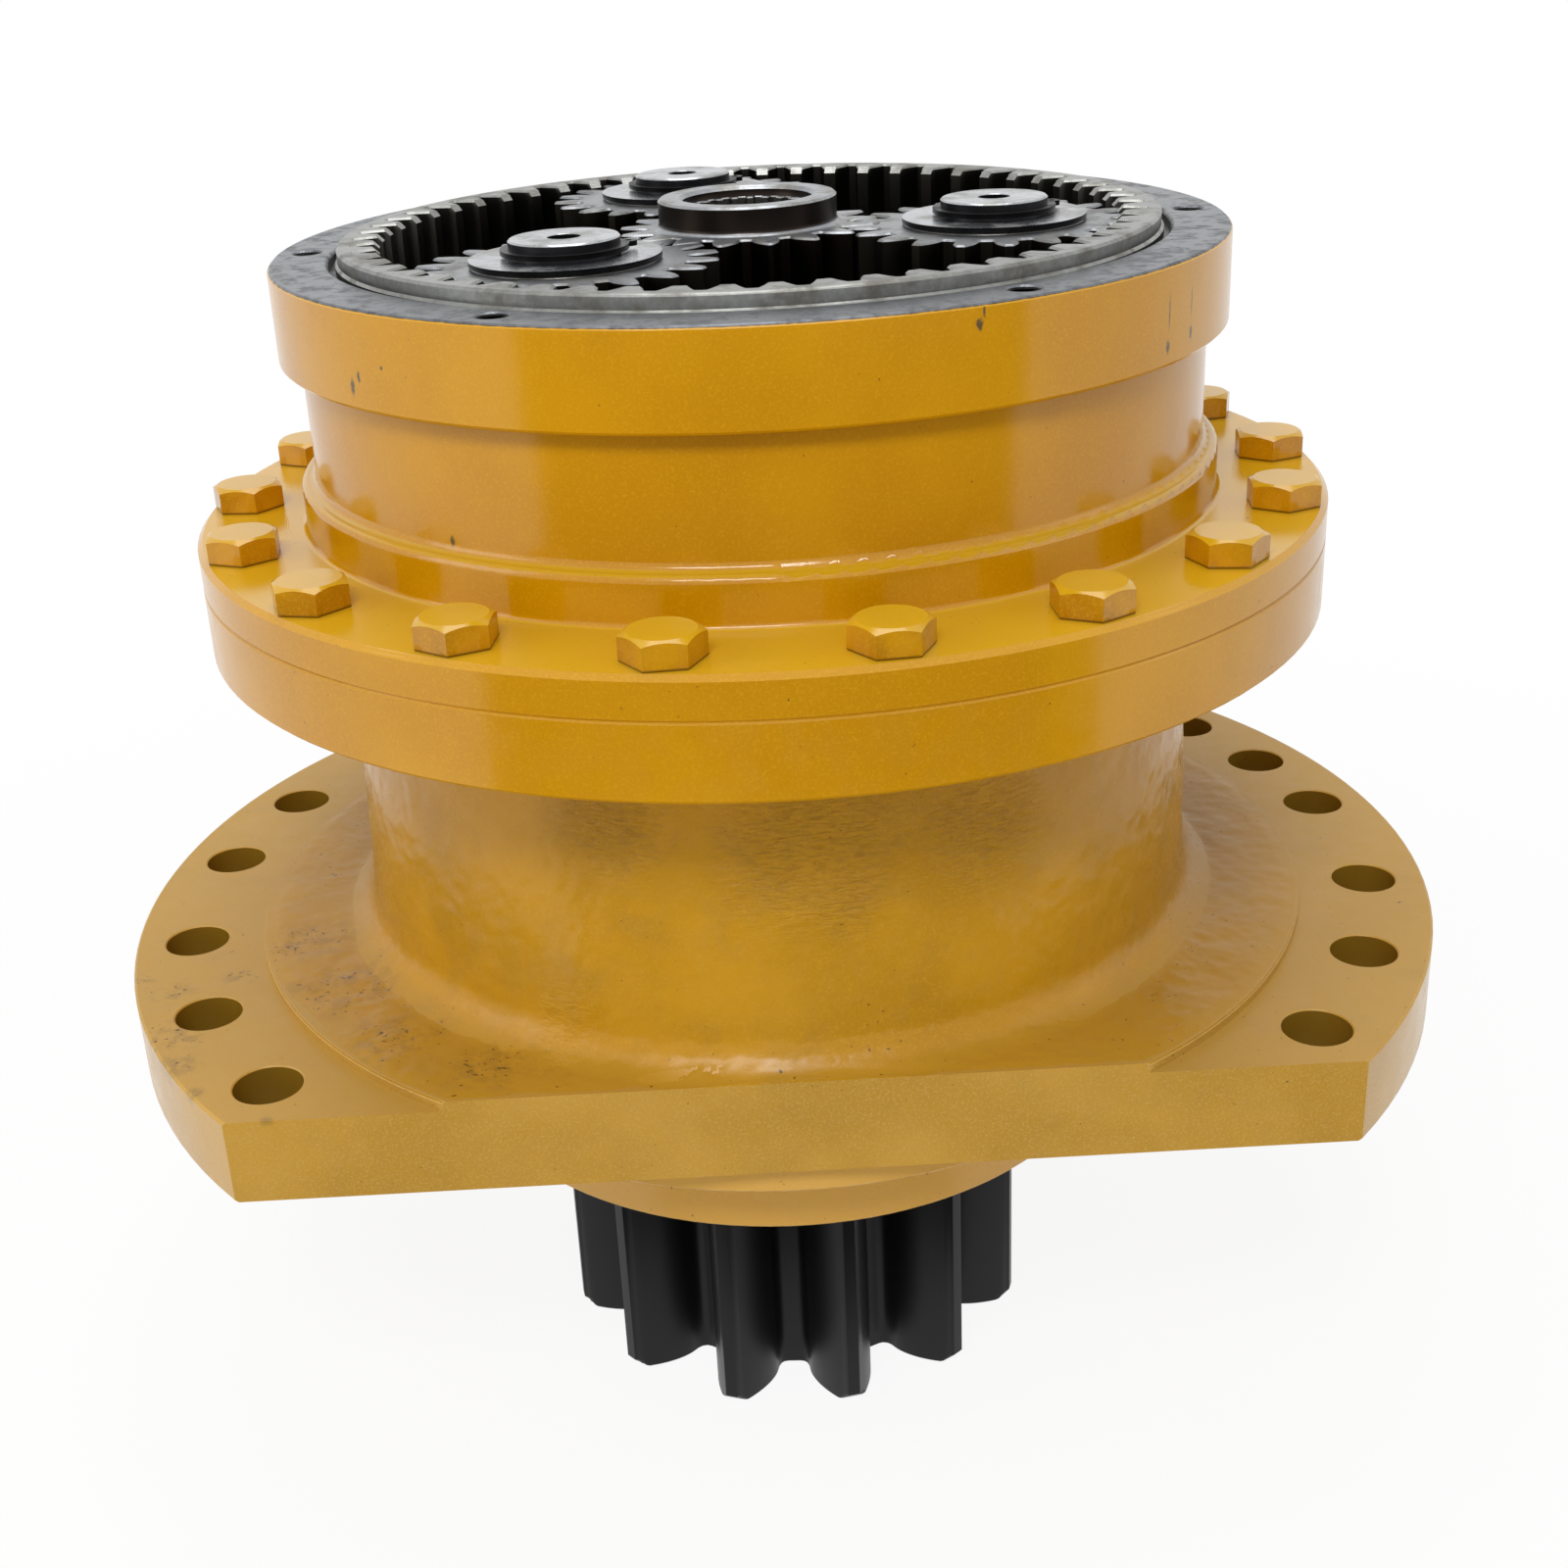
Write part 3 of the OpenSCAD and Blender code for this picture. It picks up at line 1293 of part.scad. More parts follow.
stage_washers(centre_2, planet_turn_2, pin_2_d, washer_2_d, washer_2_low);  // thrust_washers_2_lower
stage_roll_pins(centre_2, planet_turn_2, pin_2_d, carrier_2_d, carrier_2_top - carrier_2_h / 2);  // roll_pins_2
carrier_2();
retaining_plate();
retaining_bolts();
thrust_pad();
pinion_shaft();
at_upper() bearing_inner(upper_bore_d, upper_outer_d, upper_w);  // upper_bearing_inner_ring
at_upper() bearing_rollers(upper_bore_d, upper_outer_d, upper_w);  // upper_bearing_rollers
at_upper() bearing_outer(upper_bore_d, upper_outer_d, upper_w);  // upper_bearing_outer_ring
at_lower() bearing_inner(lower_bore_d, lower_outer_d, lower_w);  // lower_bearing_inner_ring
at_lower() bearing_rollers(lower_bore_d, lower_outer_d, lower_w);  // lower_bearing_rollers
at_lower() bearing_outer(lower_bore_d, lower_outer_d, lower_w);  // lower_bearing_outer_ring
bearing_locknut();
lock_washer();
oil_seal();
seal_carrier();
snap_ring();
wear_sleeve();
drain_plug();
drain_plug_washer();
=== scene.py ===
import math
import bpy
import numpy as np
from mathutils import Matrix, Vector


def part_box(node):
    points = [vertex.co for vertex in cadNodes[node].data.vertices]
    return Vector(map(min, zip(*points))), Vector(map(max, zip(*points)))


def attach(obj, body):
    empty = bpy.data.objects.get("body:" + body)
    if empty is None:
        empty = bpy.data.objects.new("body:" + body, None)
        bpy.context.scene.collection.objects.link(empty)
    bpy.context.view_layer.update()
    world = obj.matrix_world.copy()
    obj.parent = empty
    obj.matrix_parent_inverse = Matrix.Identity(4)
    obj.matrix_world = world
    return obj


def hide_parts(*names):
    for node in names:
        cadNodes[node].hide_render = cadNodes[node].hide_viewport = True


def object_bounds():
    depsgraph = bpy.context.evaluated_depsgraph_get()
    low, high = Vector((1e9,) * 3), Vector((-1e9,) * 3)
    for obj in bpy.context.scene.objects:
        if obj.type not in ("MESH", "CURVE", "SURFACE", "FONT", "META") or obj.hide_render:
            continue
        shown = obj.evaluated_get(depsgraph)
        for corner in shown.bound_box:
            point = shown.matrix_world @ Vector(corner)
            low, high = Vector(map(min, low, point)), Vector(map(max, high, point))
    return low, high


# Excavator swing gearbox, dressed for its picture. Metres, in the same frame as the CAD:
# origin on the axis in the foot's mounting face, +Z up to the motor face.
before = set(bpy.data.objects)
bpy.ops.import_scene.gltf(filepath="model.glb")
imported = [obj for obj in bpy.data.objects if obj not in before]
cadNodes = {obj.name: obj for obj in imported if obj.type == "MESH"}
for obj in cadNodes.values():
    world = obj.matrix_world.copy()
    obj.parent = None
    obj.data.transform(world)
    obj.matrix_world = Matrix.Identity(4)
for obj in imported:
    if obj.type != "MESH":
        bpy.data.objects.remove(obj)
cadBox = [list(corner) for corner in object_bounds()]
mm = 0.001
scene = bpy.context.scene
print("frame loaded:", len(cadNodes), "nodes")


def toLinear(hexColor):
    # sRGB hex to linear RGBA
    raw = [int(hexColor[i:i + 2], 16) / 255 for i in (1, 3, 5)]
    return [c / 12.92 if c < 0.04045 else ((c + 0.055) / 1.055) ** 2.4 for c in raw] + [1.0]


def feed(tree, node, inputs):
    # inputs by name or index: a socket is linked, a number, tuple or hex colour is put in
    for key, value in inputs.items():
        if isinstance(value, bpy.types.NodeSocket):
            tree.links.new(value, node.inputs[key])
        else:
            node.inputs[key].default_value = toLinear(value) if isinstance(value, str) else value
    return node


def addNode(tree, kind, inputs=None, **settings):
    # one node with its settings and inputs
    node = tree.nodes.new(kind)
    for key, value in settings.items():
        setattr(node, key, value)
    return feed(tree, node, inputs or {})


def emptyMaterial(name):
    material = bpy.data.materials.new(name)
    material.use_nodes = True
    material.node_tree.nodes.clear()
    return material, material.node_tree


def startMaterial(name):
    # material with a Principled shader; returns it with its tree, shader and object coordinates
    material, tree = emptyMaterial(name)
    shader = addNode(tree, "ShaderNodeBsdfPrincipled")
    addNode(tree, "ShaderNodeOutputMaterial", {"Surface": shader.outputs["BSDF"]})
    place = addNode(tree, "ShaderNodeTexCoord").outputs["Object"]
    return material, tree, shader, place


def noiseAt(tree, place, size, detail, rough=0.5, distort=0.0):
    # noise whose lumps are about size metres across
    return addNode(tree, "ShaderNodeTexNoise", {
        "Vector": place, "Scale": 1 / size, "Detail": detail, "Roughness": rough,
        "Distortion": distort}).outputs["Fac"]


def ramp(tree, value, low, high, lowTo=0.0, highTo=1.0):
    # value from low..high carried to lowTo..highTo, smooth at both ends
    return addNode(tree, "ShaderNodeMapRange", {
        "Value": value, "From Min": low, "From Max": high, "To Min": lowTo, "To Max": highTo},
        interpolation_type="SMOOTHSTEP").outputs["Result"]


def blendColor(tree, share, first, second, mode="MIX"):
    # first and second are sockets or hex colours; 0, 6 and 7 are the inputs in use for colours
    node = addNode(tree, "ShaderNodeMix", data_type="RGBA", blend_type=mode)
    return feed(tree, node, {0: share, 6: first, 7: second}).outputs[2]


def calc(tree, operation, first, second=0.0):
    # one Math node on sockets or numbers
    return addNode(tree, "ShaderNodeMath", {0: first, 1: second}, operation=operation).outputs[0]


def times(tree, first, second):
    return calc(tree, "MULTIPLY", first, second)


def vector(tree, operation, first, second):
    # one Vector Math node on a socket and a socket or tuple
    return addNode(tree, "ShaderNodeVectorMath", {0: first, 1: second}, operation=operation)


def bumpFrom(tree, height, distance, before=None):
    # bump of that distance in metres, on top of another bump if given
    inputs = {"Height": height, "Distance": distance, "Strength": 1.0}
    if before is not None:
        inputs["Normal"] = before
    return addNode(tree, "ShaderNodeBump", inputs).outputs["Normal"]


def splitXyz(tree, socket):
    return addNode(tree, "ShaderNodeSeparateXYZ", {"Vector": socket}).outputs


def leanOf(tree):
    # Z part of the surface's normal: 1 on faces that look up, 0 on upright walls
    return splitXyz(tree, addNode(tree, "ShaderNodeNewGeometry").outputs["Normal"])[2]


def awayFromAxis(tree, part):
    # distance from the Z axis, from separated coordinates
    squares = calc(tree, "ADD", times(tree, part[0], part[0]), times(tree, part[1], part[1]))
    return calc(tree, "SQRT", squares)


def buildMesh(name, points, quads, material, smoothAngle=32):
    # mesh object from whole arrays, smooth but for edges sharper than smoothAngle
    mesh = bpy.data.meshes.new(name)
    mesh.from_pydata(points.reshape(-1, 3).tolist(), [], quads.tolist())
    mesh.polygons.foreach_set("use_smooth", np.ones(len(mesh.polygons), dtype=bool))
    mesh.set_sharp_from_angle(angle=math.radians(smoothAngle))
    mesh.materials.append(material)
    mesh.update()
    thing = bpy.data.objects.new(name, mesh)
    scene.collection.objects.link(thing)
    return thing


def loopStack(rows):
    # closed surface through closed loops of equal length, last loop joined to the first:
    # quad (i, j) joins points j and j + 1 of loop i to the same points of loop i + 1
    rows = np.asarray(rows, dtype=float)
    loops, count = rows.shape[:2]
    i, j = np.meshgrid(np.arange(loops), np.arange(count), indexing="ij")
    nextI, nextJ = (i + 1) % loops, (j + 1) % count
    quads = np.stack([i * count + j, i * count + nextJ, nextI * count + nextJ, nextI * count + j], -1)
    return rows.reshape(-1, 3), quads.reshape(-1, 4)


def flatLoop(radius, angle, height):
    # loop of points at polar radius and angle, at one height or a height per point
    radius, angle, height = np.broadcast_arrays(radius, angle, height)
    return np.stack([radius * np.cos(angle), radius * np.sin(angle), height], -1)


pressure = math.radians(20)  # pressure angle of all the gears


def halfTooth(radius, teeth, module, shift, thin):
    # half the angle of an involute tooth at a radius: half its share of the pitch circle,
    # plus tan a - a at the pressure angle, less tan b - b where cos b = base radius / radius
    there = np.arccos(np.clip(module * teeth * math.cos(pressure) / 2 / radius, -1, 1))
    bulge = math.tan(pressure) - pressure - (np.tan(there) - there)
    return (module * (math.pi / 2 + 2 * shift * math.tan(pressure)) - thin) / (module * teeth) + bulge


def toothLoop(spec):
    # radius and angle of a whole gear outline: root land, curved fillet, involute flank,
    # tip land and back, repeated for each tooth; the first tooth lies on the angle spec["turn"]
    teeth, module = spec["teeth"], spec["module"]
    args = (teeth, module, spec["shift"], spec["thin"])
    base = module * teeth * math.cos(pressure) / 2
    start = max(base, spec["root"] + spec["fillet"] * module)
    up = np.linspace(start, spec["tip"], spec["steps"])
    half = halfTooth(up, *args)
    foot = half[0] + spec["fillet"] * module / spec["root"]
    share = np.linspace(0, 1, 5)[:-1] if spec["fillet"] else np.zeros(0)
    riseR = np.concatenate([spec["root"] + (start - spec["root"]) * share ** 2, up])
    riseA = np.concatenate([foot + (half[0] - foot) * (1 - (1 - share) ** 2), half])
    land = np.linspace(-1, 1, 4)[1:-1]
    gap = np.linspace(foot, 2 * math.pi / teeth - foot, 5)[1:-1]
    radius = np.concatenate([riseR, np.full(2, spec["tip"]), riseR[::-1], np.full(3, spec["root"])])
    angle = np.concatenate([-riseA, land * half[-1], riseA[::-1], gap])
    turns = spec["turn"] + np.arange(teeth)[:, None] * 2 * math.pi / teeth
    return np.tile(radius, teeth), (turns + angle[None, :]).ravel()


def splineLoop(teeth, inner, outer):
    # outline of straight-sided splines between two radii, as polar radius and angle:
    # what stands outward takes 0.6 of the pitch at its foot and 0.38 at its end
    pitch = 2 * math.pi / teeth
    radius = np.array([inner, inner, outer, outer, inner])
    angle = np.array([-0.5, -0.3, -0.19, 0.19, 0.3]) * pitch
    turns = np.arange(teeth)[:, None] * pitch
    return np.tile(radius, teeth), (turns + angle[None, :]).ravel()


def movedLoop(radius, angle, distance):
    # the outline moved along its own outward normal, as polar radius and angle again
    x, y = radius * np.cos(angle), radius * np.sin(angle)
    tx, ty = np.roll(x, -1) - np.roll(x, 1), np.roll(y, -1) - np.roll(y, 1)
    length = np.hypot(tx, ty)
    x, y = x + ty / length * distance, y - tx / length * distance
    return np.hypot(x, y), np.unwrap(np.arctan2(y, x))


def arcPoints(centreR, centreZ, radius, startDeg, endDeg, count):
    # points of an arc in a turned profile
    turn = np.radians(np.linspace(startDeg, endDeg, count))
    return np.stack([centreR + radius * np.cos(turn), centreZ + radius * np.sin(turn)], -1)


def turnedRows(profile, angle):
    # loops of a turned surface: one circle per (radius, height) of the profile
    return [flatLoop(r, angle, z) for r, z in profile]


# Camera: solved from the photo's circles and bolt patterns, in its pixels and in radians
camera = {
    "frame": 1600,
    "focalPixels": 2076.48,
    "sensor": 36.0,
    "place": (-11.5 * mm, -805.2 * mm, 431.2 * mm),
    "pan": 0.0101,
    "pitch": 0.4098,
    "roll": 0.0492,
    "middle": (781.93, 785.59),
}


def placeCamera(spec):
    pan, pitch, roll = spec["pan"], spec["pitch"], spec["roll"]
    forward = Vector((math.sin(pan) * math.cos(pitch), math.cos(pan) * math.cos(pitch), -math.sin(pitch)))
    right = Vector((math.cos(pan), -math.sin(pan), 0))
    up = right.cross(forward)
    across = right * math.cos(roll) - up * math.sin(roll)
    upward = right * math.sin(roll) + up * math.cos(roll)
    data = bpy.data.cameras.new("camera")
    data.sensor_width = spec["sensor"]
    data.lens = spec["sensor"] * spec["focalPixels"] / spec["frame"]
    data.shift_x = 0.5 - spec["middle"][0] / spec["frame"]
    data.shift_y = spec["middle"][1] / spec["frame"] - 0.5
    data.clip_start = 0.01
    thing = bpy.data.objects.new("camera", data)
    scene.collection.objects.link(thing)
    turn = Matrix((across, upward, -forward)).transposed()
    thing.matrix_world = Matrix.Translation(Vector(spec["place"])) @ turn.to_4x4()
    scene.camera = thing


placeCamera(camera)
print("camera placed")

# Enamel paint: ochre yellow, sprayed over primer, glossy with a faint orange peel.
# Sizes of its patches: blotch, grain, crowdSize (where specks gather), soilSize, smearSize and wearSize.
# Sizes of its bumps: peel, and on castings lump, grit and wrinkle, each with its height.
# dustAndTopLight is the share of dustAndTopLightColor on faces that look up: dust, with the light and shade
# from above painted in, paler on the machined paint and darker on the casting and the foot. topSpecks are
# their extra specks.
# marks are chips: place, radius, stretch along Z. spots are dirty and folds creased places: place, radius.
# The folds' hollows get painted shade in foldShadeColor.
# lines are painted shade along lines round the axis, under the case's band step and where the bolt heads meet
# the flange: height, half width. All these are in mm.
# bores is the colour of painted shade on the hole walls inside boreZone, and pilot the paler colour of all
# paint below the foot, painted light that stands for light bounced up from the floor.
paint = {
    "color": "#c78d02",
    "deep": "#be8400",
    "pale": "#d29c14",
    "dirt": "#5c431c",
    "blotch": 60 * mm,
    "grain": 0.9 * mm,
    "specks": 0.75,
    "speckSize": 2.2 * mm,
    "cluster": 0.02,
    "crowdSize": 55 * mm,
    "soil": 0.0,
    "soilColor": "#7d6a4a",
    "soilSize": 28 * mm,
    "dustAndTopLight": 0.8,
    "dustAndTopLightColor": "#cfa41c",
    "topSpecks": 0.018,
    "marks": [],
    "markColor": "#4a4436",
    "spots": [],
    "spotSpecks": 0.09,
    "smearSize": 7 * mm,
    "lines": [],
    "shadeLineColor": "#5c3f08",
    "folds": [],
    "foldShadeColor": "#946a0c",
    "bores": None,
    "boreZone": (228 * mm, 266 * mm, 180 * mm),  # radii and half width of the foot's ring of holes
    "pilot": None,
    "peel": 1.3 * mm,
    "peelHeight": 0.008 * mm,
    "lumpHeight": 0.0,
    "grit": 1.1 * mm,
    "rough": 0.15,
    "sideRough": 0.15,
    "wearSize": 9 * mm,
    "gloss": 0.5,
}


def addMarks(tree, place, color, spec):
    # chips with a torn edge
    for spot, size, tall in spec["marks"]:
        aside = vector(tree, "SUBTRACT", place, [v * mm for v in spot]).outputs[0]
        flat = vector(tree, "MULTIPLY", aside, (1, 1, 1 / tall)).outputs[0]
        gap = addNode(tree, "ShaderNodeVectorMath", {0: flat}, operation="LENGTH").outputs["Value"]
        ragged = times(tree, noiseAt(tree, place, size * mm, 3, 0.7), 1.6 * size * mm)
        torn = calc(tree, "ADD", gap, ragged)
        share = ramp(tree, torn, 1.2 * size * mm, 1.9 * size * mm, 0.9, 0.0)
        color = blendColor(tree, share, color, spec["markColor"])
    return color


def nearSpots(tree, place, spots):
    # 1 in the middle of a spot, 0 beyond its radius
    share = 0.0
    for spot, size in spots:
        gap = vector(tree, "DISTANCE", place, [v * mm for v in spot]).outputs["Value"]
        share = calc(tree, "MAXIMUM", share, ramp(tree, gap, 0.2 * size * mm, size * mm, 1.0, 0.0))
    return share


def foldNoise(tree, place, spec):
    # folds of the casting skin lie level, so their noise is squeezed along Z
    level = vector(tree, "MULTIPLY", place, (1, 1, 4)).outputs[0]
    return noiseAt(tree, level, spec["wrinkle"], 5, 0.6, 0.4)


def inBoreZone(tree, place, spec):
    # 1 in the ring of the foot's holes, 0 elsewhere
    nearest, farthest, half = spec["boreZone"]
    part = splitXyz(tree, place)
    away = awayFromAxis(tree, part)
    ring = times(tree, calc(tree, "LESS_THAN", away, farthest), calc(tree, "GREATER_THAN", away, nearest))
    return times(tree, ring, calc(tree, "LESS_THAN", calc(tree, "ABSOLUTE", part[1]), half))


def paintColor(tree, place, spec):
    # ochre that drifts between a deeper and a paler tone, then dust with painted top light and shade, soil,
    # painted shade lines, folds with painted shade and dirty spots
    drift = ramp(tree, noiseAt(tree, place, spec["blotch"], 4), 0.35, 0.65)
    color = blendColor(tree, drift, spec["color"], spec["deep"])
    fine = ramp(tree, noiseAt(tree, place, spec["grain"], 2), 0.45, 0.75, 0.0, 0.55)
    color = blendColor(tree, fine, color, spec["pale"])
    lean = leanOf(tree)
    upward = ramp(tree, lean, 0.6, 0.95)
    # faces that look up take a tone that is partly dust and partly painted light and shade from above
    color = blendColor(tree, times(tree, upward, spec["dustAndTopLight"]), color, spec["dustAndTopLightColor"])
    if spec["soil"]:
        smudge = ramp(tree, noiseAt(tree, place, spec["soilSize"], 5, 0.6), 0.5, 0.72, 0.0, spec["soil"])
        color = blendColor(tree, smudge, color, spec["soilColor"])
    # painted shade along a level line: darkest at its height, fading out at its half width
    for level, half in spec["lines"]:
        gap = calc(tree, "ABSOLUTE", calc(tree, "SUBTRACT", splitXyz(tree, place)[2], level * mm))
        dark = ramp(tree, gap, 0.3 * half * mm, half * mm, 0.8, 0.0)
        color = blendColor(tree, dark, color, spec["shadeLineColor"])
    crowd = ramp(tree, noiseAt(tree, place, spec["crowdSize"], 2), 0.45, 0.7)
    grains = noiseAt(tree, place, spec["speckSize"], 2, 0.6)
    grains = calc(tree, "ADD", grains, times(tree, crowd, spec["cluster"]))
    grains = calc(tree, "ADD", grains, times(tree, upward, spec["topSpecks"]))
    if spec["folds"]:
        # painted shade in the hollows of the folds on the upper neck
        creaseShade = ramp(tree, foldNoise(tree, place, spec), 0.34, 0.56, 0.45, 0.0)
        creaseShade = times(tree, creaseShade, nearSpots(tree, place, spec["folds"]))
        color = blendColor(tree, creaseShade, color, spec["foldShadeColor"])
    if spec["spots"]:
        near = nearSpots(tree, place, spec["spots"])
        smear = ramp(tree, noiseAt(tree, place, spec["smearSize"], 4, 0.65), 0.42, 0.62, 0.0, 0.35)
        color = blendColor(tree, times(tree, near, smear), color, spec["markColor"])
        grains = calc(tree, "ADD", grains, times(tree, near, spec["spotSpecks"]))
    # paler paint below the foot: painted light that stands for light bounced up from the floor
    if spec["pilot"]:
        below = calc(tree, "LESS_THAN", splitXyz(tree, place)[2], 0.0)
        color = blendColor(tree, below, color, spec["pilot"])
    # painted shade on the steep walls of the foot's holes
    if spec["bores"]:
        wall = ramp(tree, calc(tree, "ABSOLUTE", lean), 0.3, 0.6, 0.9, 0.0)
        wall = times(tree, inBoreZone(tree, place, spec), wall)
        color = blendColor(tree, wall, color, spec["bores"])
    speck = ramp(tree, grains, spec["specks"], spec["specks"] + 0.05)
    return addMarks(tree, place, blendColor(tree, speck, color, spec["dirt"]), spec)


def paintBump(tree, place, spec):
    # orange peel, then lumps, sand grit and folds where the surface is as cast
    normal = bumpFrom(tree, noiseAt(tree, place, spec["peel"], 2), spec["peelHeight"])
    if spec["lumpHeight"]:
        for size, detail in (("lump", 4), ("grit", 3)):
            normal = bumpFrom(tree, noiseAt(tree, place, spec[size], detail, 0.6), spec[size + "Height"],
                              before=normal)
    if spec["folds"]:
        fold = times(tree, foldNoise(tree, place, spec), nearSpots(tree, place, spec["folds"]))
        normal = bumpFrom(tree, fold, spec["wrinkleHeight"], before=normal)
    return normal


def enamel(name, **changes):
    # painted surface; changes override the paint dictionary
    spec = {**paint, **changes}
    material, tree, shader, place = startMaterial(name)
    rough = ramp(tree, leanOf(tree), 0.3, 0.7, spec["sideRough"], spec["rough"])
    wear = ramp(tree, noiseAt(tree, place, spec["wearSize"], 4), 0.3, 0.7, -0.02, 0.05)
    feed(tree, shader, {
        "Base Color": paintColor(tree, place, spec), "Roughness": calc(tree, "ADD", rough, wear),
        "Normal": paintBump(tree, place, spec), "Specular IOR Level": spec["gloss"]})
    return material


# Bare metal, turned or ground. marks is the spacing of its turning rings, drawn coarser than the real
# 0.2 mm so that they show; wobble makes them uneven. Faces that don't look up or down are dark with
# gear oil, from flankAt on, and only within the radius oilyWithin where that is given.
steel = {
    "color": "#9b9da1",
    "tint": "#83827c",
    "oily": "#43413c",
    "flankAt": 0.5,
    "oilyWithin": None,
    "rough": 0.32,
    "oilyRough": 0.3,
    "marks": 0.9 * mm,
    "markHeight": 0.012 * mm,
    "wobble": 0.6 * mm,
    "wobbleSize": 12 * mm,
    "centre": (0, 0),
    "stain": 14 * mm,
    "streak": 2.5 * mm,
    "grain": 0.7 * mm,
    "grainHeight": 0.01 * mm,
    "metallic": 1.0,
}


def steelParts(tree, place, spec):
    # colour, roughness and normal of a turned metal face with oily flanks
    x, y = spec["centre"]
    moved = vector(tree, "SUBTRACT", place, (x, y, 0)).outputs[0]
    away = awayFromAxis(tree, splitXyz(tree, moved))
    wobble = times(tree, noiseAt(tree, moved, spec["wobbleSize"], 2), spec["wobble"])
    rings = calc(tree, "SINE", times(tree, calc(tree, "ADD", away, wobble), 2 * math.pi / spec["marks"]))
    stain = ramp(tree, noiseAt(tree, place, spec["stain"], 4, 0.6), 0.42, 0.68)
    color = blendColor(tree, stain, spec["color"], spec["tint"])
    streak = ramp(tree, noiseAt(tree, place, spec["streak"], 3, 0.7), 0.35, 0.75, 0.88, 1.1)
    grey = addNode(tree, "ShaderNodeCombineColor", {"Red": streak, "Green": streak, "Blue": streak})
    color = blendColor(tree, 1.0, color, grey.outputs[0], "MULTIPLY")
    flank = ramp(tree, calc(tree, "ABSOLUTE", leanOf(tree)), spec["flankAt"] - 0.15, spec["flankAt"] + 0.15,
                 1.0, 0.0)
    if spec["oilyWithin"]:
        flank = times(tree, flank, calc(tree, "LESS_THAN", away, spec["oilyWithin"]))
    color = blendColor(tree, flank, color, spec["oily"])
    rough = ramp(tree, stain, 0, 1, spec["rough"], spec["rough"] + 0.16)
    mixRough = addNode(tree, "ShaderNodeMix", {"Factor": flank, "A": rough, "B": spec["oilyRough"]})
    ringShare = times(tree, rings, calc(tree, "SUBTRACT", 1.0, flank))
    normal = bumpFrom(tree, ringShare, spec["markHeight"])
    normal = bumpFrom(tree, noiseAt(tree, place, spec["grain"], 2), spec["grainHeight"], before=normal)
    return color, mixRough.outputs[0], normal


def bareMetal(name, **changes):
    # unpainted surface; changes override the steel dictionary
    spec = {**steel, **changes}
    material, tree, shader, place = startMaterial(name)
    color, rough, normal = steelParts(tree, place, spec)
    feed(tree, shader, {"Base Color": color, "Metallic": spec["metallic"], "Roughness": rough,
                        "Normal": normal})
    return material


# Moulded rubber of the seals: two close tones of black and a fine bump
rubberFinish = {"color": "#151517", "second": "#1d1d1f", "rough": 0.55, "lump": 12 * mm, "grain": 1.5 * mm,
                "grainHeight": 0.03 * mm}


def rubberMaterial(spec):
    material, tree, shader, place = startMaterial("nitrile_rubber")
    share = ramp(tree, noiseAt(tree, place, spec["lump"], 4), 0.35, 0.65)
    normal = bumpFrom(tree, noiseAt(tree, place, spec["grain"], 2), spec["grainHeight"])
    feed(tree, shader, {"Base Color": blendColor(tree, share, spec["color"], spec["second"]),
                        "Roughness": spec["rough"], "Normal": normal})
    return material


# Painted case with a bare machined motor face. The paint ends in a torn edge from bareFrom to bareFull,
# and inside the radius paintRim, or bandRim above bandFrom. The bare metal is clean steel on the face
# beyond litBeyond; below the face and within that radius it takes the dark colour inside, painted shade
# for the hole walls, the bore and the gap by the ring gear.
caseFinish = {
    "marks": [((-137.4, -120.8, 282.4), 1.6, 2.2), ((-134.6, -124.0, 286.5), 1.0, 2.5),
              ((68.3, -169.8, 302.5), 1.5, 1.7), ((69.8, -169.2, 306.5), 0.6, 4.0),
              ((-107.2, -138.3, 231.8), 1.2, 2.0), ((149.2, -106.0, 283.5), 1.4, 2.0),
              ((149.2, -106.0, 294.0), 0.5, 14.0), ((138.5, -119.6, 281.5), 1.5, 2.0),
              ((138.9, -119.2, 293.0), 0.5, 16.0), ((-125.0, -133.7, 291.0), 0.8, 1.2)],
    # painted shade in the corner under the band's step
    "lines": [(273.7, 1.3)],
    "bareFrom": 308.4 * mm,
    "bareFull": 308.65 * mm,
    "tornSize": 3 * mm,
    "tornHeight": 0.5 * mm,
    "paintRim": 173.5 * mm,
    "bandRim": 180 * mm,
    "bandFrom": 278 * mm,
    "litBeyond": 160.2 * mm,
    "face": {"color": "#777a7f", "tint": "#5b5c5f", "marks": 1.0 * mm, "stain": 6 * mm},
    # painted shade for the bare metal below the face and within litBeyond
    "inside": "#191817",
}


